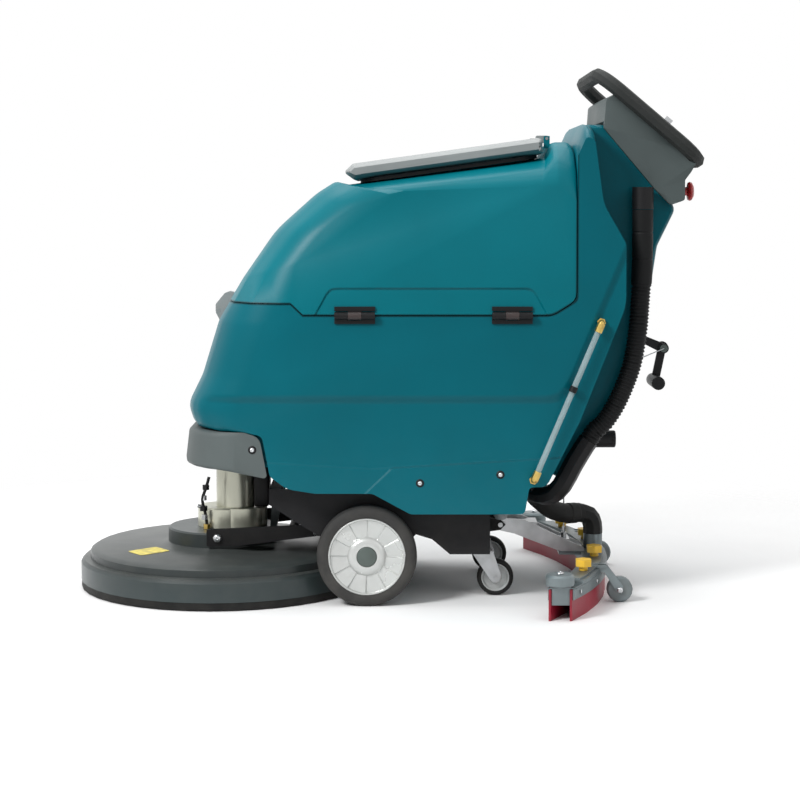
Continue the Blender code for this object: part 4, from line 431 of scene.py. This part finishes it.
def revolve(name, profile, middle, axis=Z, sides=96, closed=True, wobble=None):
    """A turned piece from (radius, height) points. wobble(angle, radius, height) may move a
    point and returns its radius and height."""
    bm = bmesh.new()
    turn = Vector(axis).to_track_quat("Z", "Y")
    rows = []
    for i in range(sides):
        angle = 2 * math.pi * i / sides
        row = []
        for r, h in profile:
            if wobble:
                r, h = wobble(angle, r, h)
            point = Vector((r * math.cos(angle), r * math.sin(angle), h))
            row.append(bm.verts.new(Vector(middle) + turn @ point))
        rows.append(row)
    count = len(profile)
    for i in range(sides):
        a, b = rows[i], rows[(i + 1) % sides]
        for k in range(count if closed else count - 1):
            n = (k + 1) % count
            bm.faces.new((a[k], b[k], b[n], a[n]))
    bmesh.ops.remove_doubles(bm, verts=bm.verts, dist=0.00001)
    return mesh_object(name, bm)


def rounded(corners, segments=6):
    """Replaces each corner (a, b, radius) of an outline by an arc."""
    points = []
    for i, (a, b, radius) in enumerate(corners):
        here = Vector((a, b))
        before = Vector(corners[i - 1][:2]) - here
        after = Vector(corners[(i + 1) % len(corners)][:2]) - here
        if radius <= 0:
            points.append(here)
            continue
        half = before.angle(after) / 2
        reach = min(radius / math.tan(half), 0.45 * before.length, 0.45 * after.length)
        size = reach * math.tan(half)
        inward = (before.normalized() + after.normalized()).normalized()
        middle = here + inward * (size / math.sin(half))
        start, end = here + before.normalized() * reach, here + after.normalized() * reach
        for k in range(segments + 1):
            t = k / segments
            spoke = (start - middle).lerp(end - middle, t).normalized() * size
            points.append(middle + spoke)
    return points


def pipe(name, points, radius, sides=24, ribs=None):
    """A hose or tube along points; ribs(distance along) gives its radius there."""
    points = [Vector(p) for p in points]
    bm = bmesh.new()
    rows, walked = [], 0.0
    frame_side = None
    for i, p in enumerate(points):
        along = (points[min(i + 1, len(points) - 1)] - points[max(i - 1, 0)]).normalized()
        if frame_side is None:
            frame_side = along.orthogonal().normalized()
        frame_side = (frame_side - along * frame_side.dot(along)).normalized()
        other = along.cross(frame_side)
        if i:
            walked += (p - points[i - 1]).length
        size = ribs(walked) if ribs else radius
        rows.append([
            bm.verts.new(p + (frame_side * math.cos(t) + other * math.sin(t)) * size)
            for t in (2 * math.pi * k / sides for k in range(sides))
        ])
    for a, b in zip(rows, rows[1:]):
        for k in range(sides):
            bm.faces.new((a[k - 1], a[k], b[k], b[k - 1]))
    bm.faces.new(rows[0])
    bm.faces.new(list(reversed(rows[-1])))
    return mesh_object(name, bm)


def curve_through(points, spacing):
    """Points at an even spacing on a smooth curve through the given ones."""
    points = [Vector(p) for p in points]
    ends = [2 * points[0] - points[1]] + points + [2 * points[-1] - points[-2]]
    fine = []
    for before, a, b, after in zip(ends, ends[1:], ends[2:], ends[3:]):
        for i in range(24):
            t = i / 24
            fine.append(0.5 * (
                2 * a + (b - before) * t + (2 * before - 5 * a + 4 * b - after) * t * t
                + (3 * a - before - 3 * b + after) * t ** 3
            ))
    fine.append(points[-1])
    walked = [0.0]
    for a, b in zip(fine, fine[1:]):
        walked.append(walked[-1] + (b - a).length)
    count = max(2, round(walked[-1] / spacing))
    route, i = [], 0
    for n in range(count + 1):
        goal = walked[-1] * n / count
        while i < len(fine) - 2 and walked[i + 1] < goal:
            i += 1
        route.append(fine[i].lerp(fine[i + 1], (goal - walked[i]) / max(walked[i + 1] - walked[i], 1e-9)))
    return route


def middle_of(name):
    """The middle of a CAD node's bounding box."""
    node = nodes[name]
    corners = [node.matrix_world @ Vector(c) for c in node.bound_box]
    return sum(corners, Vector()) / 8


def skin_point(name, x, z):
    """Where a level line towards +Y first meets a CAD node."""
    node = nodes[name]
    inverse = node.matrix_world.inverted()
    start = inverse @ Vector((x, -2, z))
    hit, where, *_ = node.ray_cast(start, (inverse.to_3x3() @ Y).normalized())
    if not hit:
        raise ValueError(f"no skin of {name} at {x}, {z}")
    return node.matrix_world @ where


def top_of(name, x, y):
    """Height at which a plumb line from above first meets a CAD node."""
    node = nodes[name]
    inverse = node.matrix_world.inverted()
    start = inverse @ Vector((x, y, 2))
    hit, where, *_ = node.ray_cast(start, (inverse.to_3x3() @ -Z).normalized())
    if not hit:
        raise ValueError(f"nothing of {name} at {x}, {y}")
    return (node.matrix_world @ where).z


# ---------------------------------------------------------------- wheels

FACETS = 12


def wheels():
    """Tyres with rounded shoulders, and silver rims with tilted facets round a domed hub."""
    for side, sign in (("left", -1), ("right", 1)):
        hub = Vector((-0.0385, sign * 0.231, 0.100))
        tyre = revolve(f"{side}_tyre_skin", [
            (0.0773, 0.0185), (0.0800, 0.0197), (0.0880, 0.0200), (0.0905, 0.0194), (0.0945, 0.0182),
            (0.0980, 0.0155), (0.0995, 0.0115), (0.1000, 0.0060), (0.1000, -0.0060), (0.0995, -0.0115),
            (0.0980, -0.0155), (0.0945, -0.0182), (0.0880, -0.0200), (0.0773, -0.0185),
        ], hub, sign * Y, 128)
        link(tyre, TYRE, f"{side}_wheel", f"{side}_tyre", angle=50)

        def facet(angle, r, h):
            if 0.039 < r < 0.0725 and h > 0:
                local = (angle * FACETS / (2 * math.pi)) % 1 - 0.5
                h += 0.0042 * local * (r / 0.0725)
            return r, h

        rim = revolve(f"{side}_rim_skin", [
            (0.0768, 0.0190), (0.0755, 0.0202), (0.0740, 0.0200), (0.0728, 0.0180), (0.0720, 0.0150),
            (0.0560, 0.0138), (0.0400, 0.0125), (0.0385, 0.0128), (0.0370, 0.0150), (0.0340, 0.0176),
            (0.0290, 0.0192), (0.0230, 0.0198), (0.0205, 0.0194), (0.0200, 0.0160), (0.0110, 0.0160),
            (0.0110, -0.0190), (0.0768, -0.0190),
        ], hub, sign * Y, 144, wobble=facet)
        link(rim, RIM, f"{side}_wheel", f"{side}_rim", angle=24)
        cap = revolve(f"{side}_hub_cap", [
            (0, 0.0212), (0.0165, 0.0212), (0.0190, 0.0204), (0.0198, 0.0190), (0.0198, 0.0165), (0, 0.0165),
        ], hub, sign * Y, 64, closed=False)
        link(cap, CAP, f"{side}_wheel")
        caster = middle_of(f"{side}_caster_wheel")
        tread = revolve(f"{side}_caster_tread", [
            (0.0285, 0.0100), (0.0320, 0.0118), (0.0350, 0.0108), (0.0370, 0.0070), (0.0375, 0.0),
            (0.0370, -0.0070), (0.0350, -0.0108), (0.0320, -0.0118), (0.0285, -0.0100),
        ], caster, Y, 72)
        link(tread, RUBBER, f"{side}_caster", f"{side}_caster_wheel", angle=50)
        core = revolve(f"{side}_caster_core", [
            (0.0285, 0.0100), (0.0268, 0.0104), (0.0255, 0.0085), (0.0240, 0.0045), (0.0140, 0.0040),
            (0.0120, 0.0100), (0.0062, 0.0112), (0.0062, -0.0112), (0.0120, -0.0100), (0.0140, -0.0040),
            (0.0240, -0.0045), (0.0255, -0.0085), (0.0268, -0.0104), (0.0285, -0.0100),
        ], caster, Y, 72)
        link(core, SILL, f"{side}_caster")
        support = middle_of(f"{side}_support_wheel")
        for end in (-1, 1):
            bolt = dome(f"{side}_support_bolt_{'in' if end < 0 else 'out'}",
                        support + Y * end * 0.0135, end * Y, 0.0062, 0.0032)
            link(bolt, SCREW, "squeegee")


def dome(name, seat, axis, radius, height):
    """A round screw head with a cross slot's dimple in its middle."""
    return revolve(name, [
        (0, height * 0.55), (radius * 0.22, height * 0.60), (radius * 0.30, height),
        (radius * 0.60, height * 0.92), (radius * 0.90, height * 0.55), (radius, 0), (0, 0),
    ], seat, axis, 28, closed=False)


# ---------------------------------------------------------------- hoses and level tube

def ribbed(low, high, pitch, smooth_to=0.0, joints=()):
    """A hose's radius along its length: smooth as far as smooth_to, then corrugated."""
    def radius(walked):
        if walked < smooth_to:
            near = min((abs(walked - j) for j in joints), default=1)
            return high + 0.0012 - (0.0010 if near < 0.0016 else 0)
        wave = 0.5 + 0.5 * math.cos(2 * math.pi * walked / pitch)
        return low + (high - low) * wave ** 0.7
    return radius


def hoses():
    """The corrugated suction hose down the back, the short hose to the squeegee and its lift cable."""
    y = -0.200
    route = curve_through([
        (0.5115, y, 0.7890), (0.5115, y, 0.7500), (0.5115, y, 0.7050), (0.5110, y, 0.6670),
        (0.5075, y, 0.6070), (0.5030, y, 0.5470), (0.4935, y, 0.4870), (0.4795, y, 0.4430),
        (0.4600, y, 0.3990), (0.4380, y, 0.3650), (0.4178, y, 0.3453), (0.4060, y, 0.3275),
    ], 0.0011)
    hose = pipe("corrugated_suction_hose", route, 0.019, 28,
                ribbed(0.0172, 0.0196, 0.0072, 0.150, (0.045, 0.098, 0.148)))
    link(hose, RUBBER, "chassis", "suction_hose", angle=70)
    start, end = Vector((0.3130, -0.0720, 0.1900)), Vector((0.4050, -0.0140, 0.1500))
    short = curve_through([start, (0.3420, -0.0560, 0.1650), (0.3720, -0.0380, 0.1530), end], 0.0011)
    length = sum((b - a).length for a, b in zip(short, short[1:]))
    hose = pipe("smooth_squeegee_hose", short, 0.0203, 32,
                lambda walked: 0.0216 if 0.012 < length - walked < 0.034 else 0.0203)
    bpy.context.scene.collection.objects.link(hose)
    hose.data.materials.append(RUBBER)
    hose.data.shade_smooth()
    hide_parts("squeegee_hose")
    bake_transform(hose)
    top, foot = Vector((0.3740, 0, 0.2538)), Vector((0.3740, 0, 0.1062))
    cable = pipe("steel_lift_cable", [top.lerp(foot, i / 24) for i in range(25)], 0.0015, 12)
    bpy.context.scene.collection.objects.link(cable)
    cable.data.materials.append(ZINC)
    cable.data.shade_smooth()
    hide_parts("lift_cable")
    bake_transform(cable)
    ferrule = pipe("lift_cable_ferrule", [foot + Z * 0.0004, foot + Z * 0.0120], 0.0035, 6)
    link(ferrule, ZINC, "squeegee", angle=20)


def recess_webs():
    """The moulded webs that close the slit between the bumper's ends and the lower tank."""
    for side, sign in (("left", -1), ("right", 1)):
        bm = bmesh.new()
        corners = (
            (-0.2640, 0.3440), (-0.2340, 0.3440), (-0.2280, 0.3180), (-0.2280, 0.2780), (-0.2540, 0.2780),
        )
        near, far = (
            [bm.verts.new((x, sign * y, z)) for x, z in corners] for y in (0.2400, 0.2340)
        )
        bm.faces.new(near)
        bm.faces.new(list(reversed(far)))
        for i in range(len(near)):
            bm.faces.new((near[i - 1], near[i], far[i], far[i - 1]))
        bmesh.ops.recalc_face_normals(bm, faces=bm.faces)
        bmesh.ops.bevel(bm, geom=list(bm.edges), offset=0.0012, segments=2, affect="EDGES")
        link(mesh_object(f"recess_web_{side}", bm), SHADED_LOWER_TEAL, "chassis")


LID_FALL = 0.052 / 0.375     # slope of the lid along X
LID_PLANE = (0.8450 + 0.086 * LID_FALL, LID_FALL)   # height at X 0 of what the lid rests on, and its slope


def lid_seal_and_painted_shadow():
    """The rubber bead under the lid's rim, down to the top of the tank; its black also stands in for the
    shadow line under the rim, as painted shade.
    """
    front, rear, half, radius, width, deep = -0.0520, 0.3040, 0.1860, 0.040, 0.0060, 0.0072
    level, slope = LID_PLANE
    bm = bmesh.new()
    rings = []
    for grow in (0.0, -width):
        corner = radius + grow
        plan = [
            (x + corner * math.cos(t), y + corner * math.sin(t))
            for x, y, turn in (
                (rear - radius, half - radius, 0), (front + radius, half - radius, 1),
                (front + radius, radius - half, 2), (rear - radius, radius - half, 3),
            )
            for t in (math.pi / 2 * (turn + k / 8) for k in range(9))
        ]
        for drop in (0.0001, deep):
            rings.append([bm.verts.new((x, y, level + x * slope - drop)) for x, y in plan])
    outer_high, outer_low, inner_high, inner_low = rings
    around = (outer_high, outer_low, inner_low, inner_high, outer_high)
    for a, b in zip(around, around[1:]):
        for k in range(len(a)):
            bm.faces.new((a[k - 1], a[k], b[k], b[k - 1]))
    link(mesh_object("lid_seal_and_painted_shadow", bm), RUBBER, "lid")


def lever_cable():
    """The wire from the lever's pivot to the column, with the washer it hangs from."""
    pivot, hole = Vector((0.5810, -0.0180, 0.4970)), Vector((0.4060, -0.0180, 0.4238))
    washer = pipe("lever_pivot_washer", [pivot + Y * 0.0035, pivot - Y * 0.0010], 0.0082, 20)
    link(washer, CAP, "chassis")
    wire = pipe("lever_wire", [pivot - Y * 0.0004, pivot.lerp(hole, 0.5), hole], 0.0011, 10)
    link(wire, ZINC, "chassis")
    sleeve = pipe("lever_wire_sleeve", [hole.lerp(pivot, 0.16), hole], 0.0034, 16)
    link(sleeve, BLACK, "chassis")


def level_gauge():
    """The clear level tube between two brass elbows, with its clip."""
    y = -0.2760
    top, foot = Vector((0.4235, y, 0.5680)), Vector((0.2915, y, 0.2560))
    run = (top - foot).normalized()
    route = curve_through([foot + run * 0.012, (top + foot) / 2, top - run * 0.012], 0.01)
    tube = pipe("clear_level_tube", route, 0.0058, 24)
    link(tube, CLEAR, "chassis", "level_tube")
    for name, end, inward in (("top", top, -run), ("foot", foot, run)):
        nut = pipe(f"level_{name}_nut", [end + inward * 0.002, end + inward * 0.020], 0.0076, 6)
        link(nut, BRASS, "chassis", angle=20)
        elbow = pipe(f"level_{name}_elbow", curve_through([
            end + inward * 0.006, end + inward * 0.001 + Y * 0.001, end + Y * 0.0130,
        ], 0.002), 0.0060, 20)
        link(elbow, BRASS, "chassis")
        collar = pipe(f"level_{name}_collar", [end + Y * 0.0095, end + Y * 0.0135], 0.0088, 6)
        link(collar, BRASS, "chassis", angle=20)
    clip = top.lerp(foot, 0.42)
    band = pipe("level_clip", [clip - run * 0.006, clip + run * 0.006], 0.0078, 24)
    link(band, BLACK, "chassis")
    foot_pad = pipe("level_clip_foot", [clip, clip + Y * 0.0155], 0.0050, 16)
    link(foot_pad, BLACK, "chassis")


SQUEEGEE_HALF, SQUEEGEE_REAR, SQUEEGEE_SWEEP = 0.375, 0.4615, 0.098


def curved_strip(name, front, rear, low, high, half=SQUEEGEE_HALF, steps=48, bevel=0.0006):
    """A strip that follows the squeegee's curve in plan, between two offsets from its rear face."""
    bm = bmesh.new()
    rows = []
    for i in range(steps + 1):
        y = half * (2 * i / steps - 1)
        base = SQUEEGEE_REAR - SQUEEGEE_SWEEP * (y / SQUEEGEE_HALF) ** 2
        rows.append([bm.verts.new((base + x, y, z)) for x, z in (
            (front + bevel, low), (rear - bevel, low), (rear, low + bevel), (rear, high - bevel),
            (rear - bevel, high), (front + bevel, high), (front, high - bevel), (front, low + bevel),
        )])
    for a, b in zip(rows, rows[1:]):
        for k in range(len(a)):
            bm.faces.new((a[k - 1], a[k], b[k], b[k - 1]))
    bm.faces.new(rows[0])
    bm.faces.new(list(reversed(rows[-1])))
    return mesh_object(name, bm)


def squeegee_trim():
    """Steel strips that clamp the blades to the squeegee body, with their wing screws."""
    for name, front, rear in (("rear", -0.0034, -0.0006), ("front", -0.0512, -0.0486)):
        strip = curved_strip(f"{name}_clamp_strip", front, rear, 0.0400, 0.0612)
        link(strip, CAST, "squeegee")
    for sign in (-1, 1):
        side = "left" if sign < 0 else "right"
        for i, y in enumerate((0.06, 0.155, 0.245, 0.345)):
            base = SQUEEGEE_REAR - SQUEEGEE_SWEEP * (y / SQUEEGEE_HALF) ** 2
            screw = dome(f"{side}_strip_screw_{i + 1}", (base - 0.0008, sign * y, 0.0510), X, 0.0042, 0.0022)
            link(screw, SCREW, "squeegee")
        roller = middle_of(f"{side}_bumper_roller")
        screw = dome(f"{side}_roller_screw", roller + Z * 0.0135, Z, 0.0068, 0.0034)
        link(screw, SCREW, "squeegee")


def water_valve():
    """The small feed valve with its thin hose that stands on the deck beside the motor."""
    x, y = -0.3740, -0.0560
    foot = top_of("brush_deck", x, y)
    stem = pipe("valve_hose", curve_through([
        (x, y, foot - 0.002), (x - 0.004, y, foot + 0.030), (x - 0.010, y - 0.004, foot + 0.062),
        (x - 0.002, y - 0.006, 0.2100), (x + 0.004, y - 0.004, 0.2320),
    ], 0.003), 0.0032, 14)
    link(stem, BLACK, "deck")
    for i, (height, size, mat) in enumerate((
        (0.006, 0.0075, BRASS), (0.026, 0.0065, ZINC), (0.044, 0.0085, BLACK), (0.066, 0.0060, ZINC),
        (0.088, 0.0075, BLACK),
    )):
        lean = -0.008 * math.sin(math.pi * height / 0.10)
        ends = [(x + lean, y - 0.002, foot + height + end) for end in (-0.005, 0.005)]
        nut = pipe(f"valve_nut_{i + 1}", ends, size, 6)
        link(nut, mat, "deck", angle=20)
    ends = [(x - 0.004, y - 0.002, foot + 0.044), (x - 0.020, y - 0.004, foot + 0.050)]
    tap = pipe("valve_tap", ends, 0.0036, 12)
    link(tap, ZINC, "deck")


HINGE_AXIS = (-0.2685, 0.581)    # Y and Z of the pins that the upper tank tips about


def trim():
    """Hinge barrels, screws, the plain sticker on the deck and the bolts of the lift arms."""
    for i, x in enumerate((-0.0615, 0.2485)):
        ends = [(x - 0.013, *HINGE_AXIS), (x + 0.013, *HINGE_AXIS)]
        barrel = pipe(f"hinge_barrel_{i + 1}", ends, 0.0079, 28)
        link(barrel, BARREL, "chassis")
    for i, (node, x, z) in enumerate((
        ("front_bumper", -0.2645, 0.3150), ("solution_tank", 0.0670, 0.2490),
        ("solution_tank", 0.2260, 0.2660),
    )):
        seat = skin_point(node, x, z)
        ring = dome(f"screw_washer_{i + 1}", seat - Y * 0.0001, -Y, 0.0082, 0.0018)
        link(ring, BLACK, "chassis")
        head = dome(f"screw_{i + 1}", seat - Y * 0.0012, -Y, 0.0048, 0.0030)
        link(head, SCREW, "chassis")
    for sign in (-1, 1):
        for name, x, z in (("front", -0.3475, 0.1150), ("rear", -0.1435, 0.1300)):
            bolt = dome(f"arm_bolt_{name}_{'left' if sign < 0 else 'right'}", (x, sign * 0.1256, z),
                        sign * Y, 0.0088, 0.0050)
            link(bolt, SCREW, "lift_arm")
    bm = bmesh.new()
    outline = rounded([
        (-0.034, -0.028, 0.006), (0.034, -0.028, 0.006), (0.034, 0.028, 0.006), (-0.034, 0.028, 0.006),
    ])
    turn = Matrix.Rotation(math.radians(38), 4, "Z")
    seat = Vector((-0.4900, -0.1080, 0))
    low = []
    for p in outline:
        spot = seat + turn @ Vector((p.x, p.y, 0))
        low.append(bm.verts.new((spot.x, spot.y, top_of("brush_deck", spot.x, spot.y) + 0.0003)))
    high = [bm.verts.new(v.co + Z * 0.0006) for v in low]
    bm.faces.new(low)
    bm.faces.new(list(reversed(high)))
    for i in range(len(low)):
        bm.faces.new((low[i - 1], low[i], high[i], high[i - 1]))
    link(mesh_object("plain_sticker", bm), STICKER, "deck")


# ---------------------------------------------------------------- stage

SKY_LOW, SKY_HIGH = 0.05, 0.85   # light of the studio from below and from above
CAMERA_AT = (0.0276, -4.0, 0.8148)
CAMERA_LENS = 85.7
CAMERA_PITCH = 3.057     # degrees below level; the shift takes the rest of the way down
CAMERA_SHIFT = -0.127


def stage():
    """A pale floor, a white background that lights the scene, and soft studio lamps."""
    bpy.ops.mesh.primitive_plane_add(size=12)
    floor = bpy.context.object
    floor.name = "floor"
    mat, tree, shader = new_material("pale_floor")
    coords = tree.nodes.new("ShaderNodeTexCoord").outputs["Object"]
    tree.links.new(ramp(tree, noise(tree, coords, 2.0), [
        (0.3, linear((246, 246, 246))), (0.7, linear((252, 252, 252))),
    ]), shader.inputs["Base Color"])
    shader.inputs["Roughness"].default_value = 0.7
    shader.inputs["Specular IOR Level"].default_value = 0.1
    reach = tree.nodes.new("ShaderNodeVectorMath")
    reach.operation = "LENGTH"
    tree.links.new(coords, reach.inputs[0])
    tree.links.new(spread(tree, reach.outputs["Value"], 0.9, 1.7, 1.0, 0.0), shader.inputs["Alpha"])
    floor.data.materials.append(mat)
    world = bpy.data.worlds.new("studio")
    bpy.context.scene.world = world
    world.use_nodes = True
    tree = world.node_tree
    background = tree.nodes["Background"]
    path = tree.nodes.new("ShaderNodeLightPath")
    seen = tree.nodes.new("ShaderNodeMath")
    seen.operation = "MAXIMUM"
    tree.links.new(path.outputs["Is Camera Ray"], seen.inputs[0])
    tree.links.new(maths(tree, "MAXIMUM", path.outputs["Is Glossy Ray"], path.outputs["Is Transmission Ray"]),
                   seen.inputs[1])
    upward = parts_of(tree, tree.nodes.new("ShaderNodeTexCoord").outputs["Generated"])["Z"]
    ambient = spread(tree, upward, 0.05, 0.8, SKY_LOW, SKY_HIGH)
    level = tree.nodes.new("ShaderNodeMix")
    level.inputs[3].default_value = 1.0
    tree.links.new(seen.outputs[0], level.inputs[0])
    tree.links.new(ambient, level.inputs[2])
    background.inputs["Color"].default_value = (1, 1, 1, 1)
    tree.links.new(level.outputs[0], background.inputs["Strength"])
    for name, where, size, power in (
        ("key", (-2.4, -2.6, 3.0), 1.0, 135), ("fill", (2.6, -2.4, 1.8), 2.0, 8),
        ("top", (0.0, 0.6, 3.2), 2.6, 50),
    ):
        light = bpy.data.lights.new(name, "AREA")
        light.size, light.energy = size, power
        lamp = bpy.data.objects.new(name, light)
        bpy.context.scene.collection.objects.link(lamp)
        lamp.location = where
        lamp.rotation_euler = (Vector((0, 0, 0.45)) - Vector(where)).to_track_quat("-Z", "Y").to_euler()
    camera = bpy.data.objects.new("camera", bpy.data.cameras.new("camera"))
    bpy.context.scene.collection.objects.link(camera)
    camera.location = CAMERA_AT
    camera.rotation_euler = (math.radians(90 - CAMERA_PITCH), 0, 0)
    camera.data.lens = CAMERA_LENS
    camera.data.shift_y = CAMERA_SHIFT
    bpy.context.scene.camera = camera
    bpy.context.scene.view_settings.view_transform = "Standard"


dress_nodes()
wheels()
hoses()
recess_webs()
lid_seal_and_painted_shadow()
lever_cable()
level_gauge()
trim()
squeegee_trim()
water_valve()
stage()
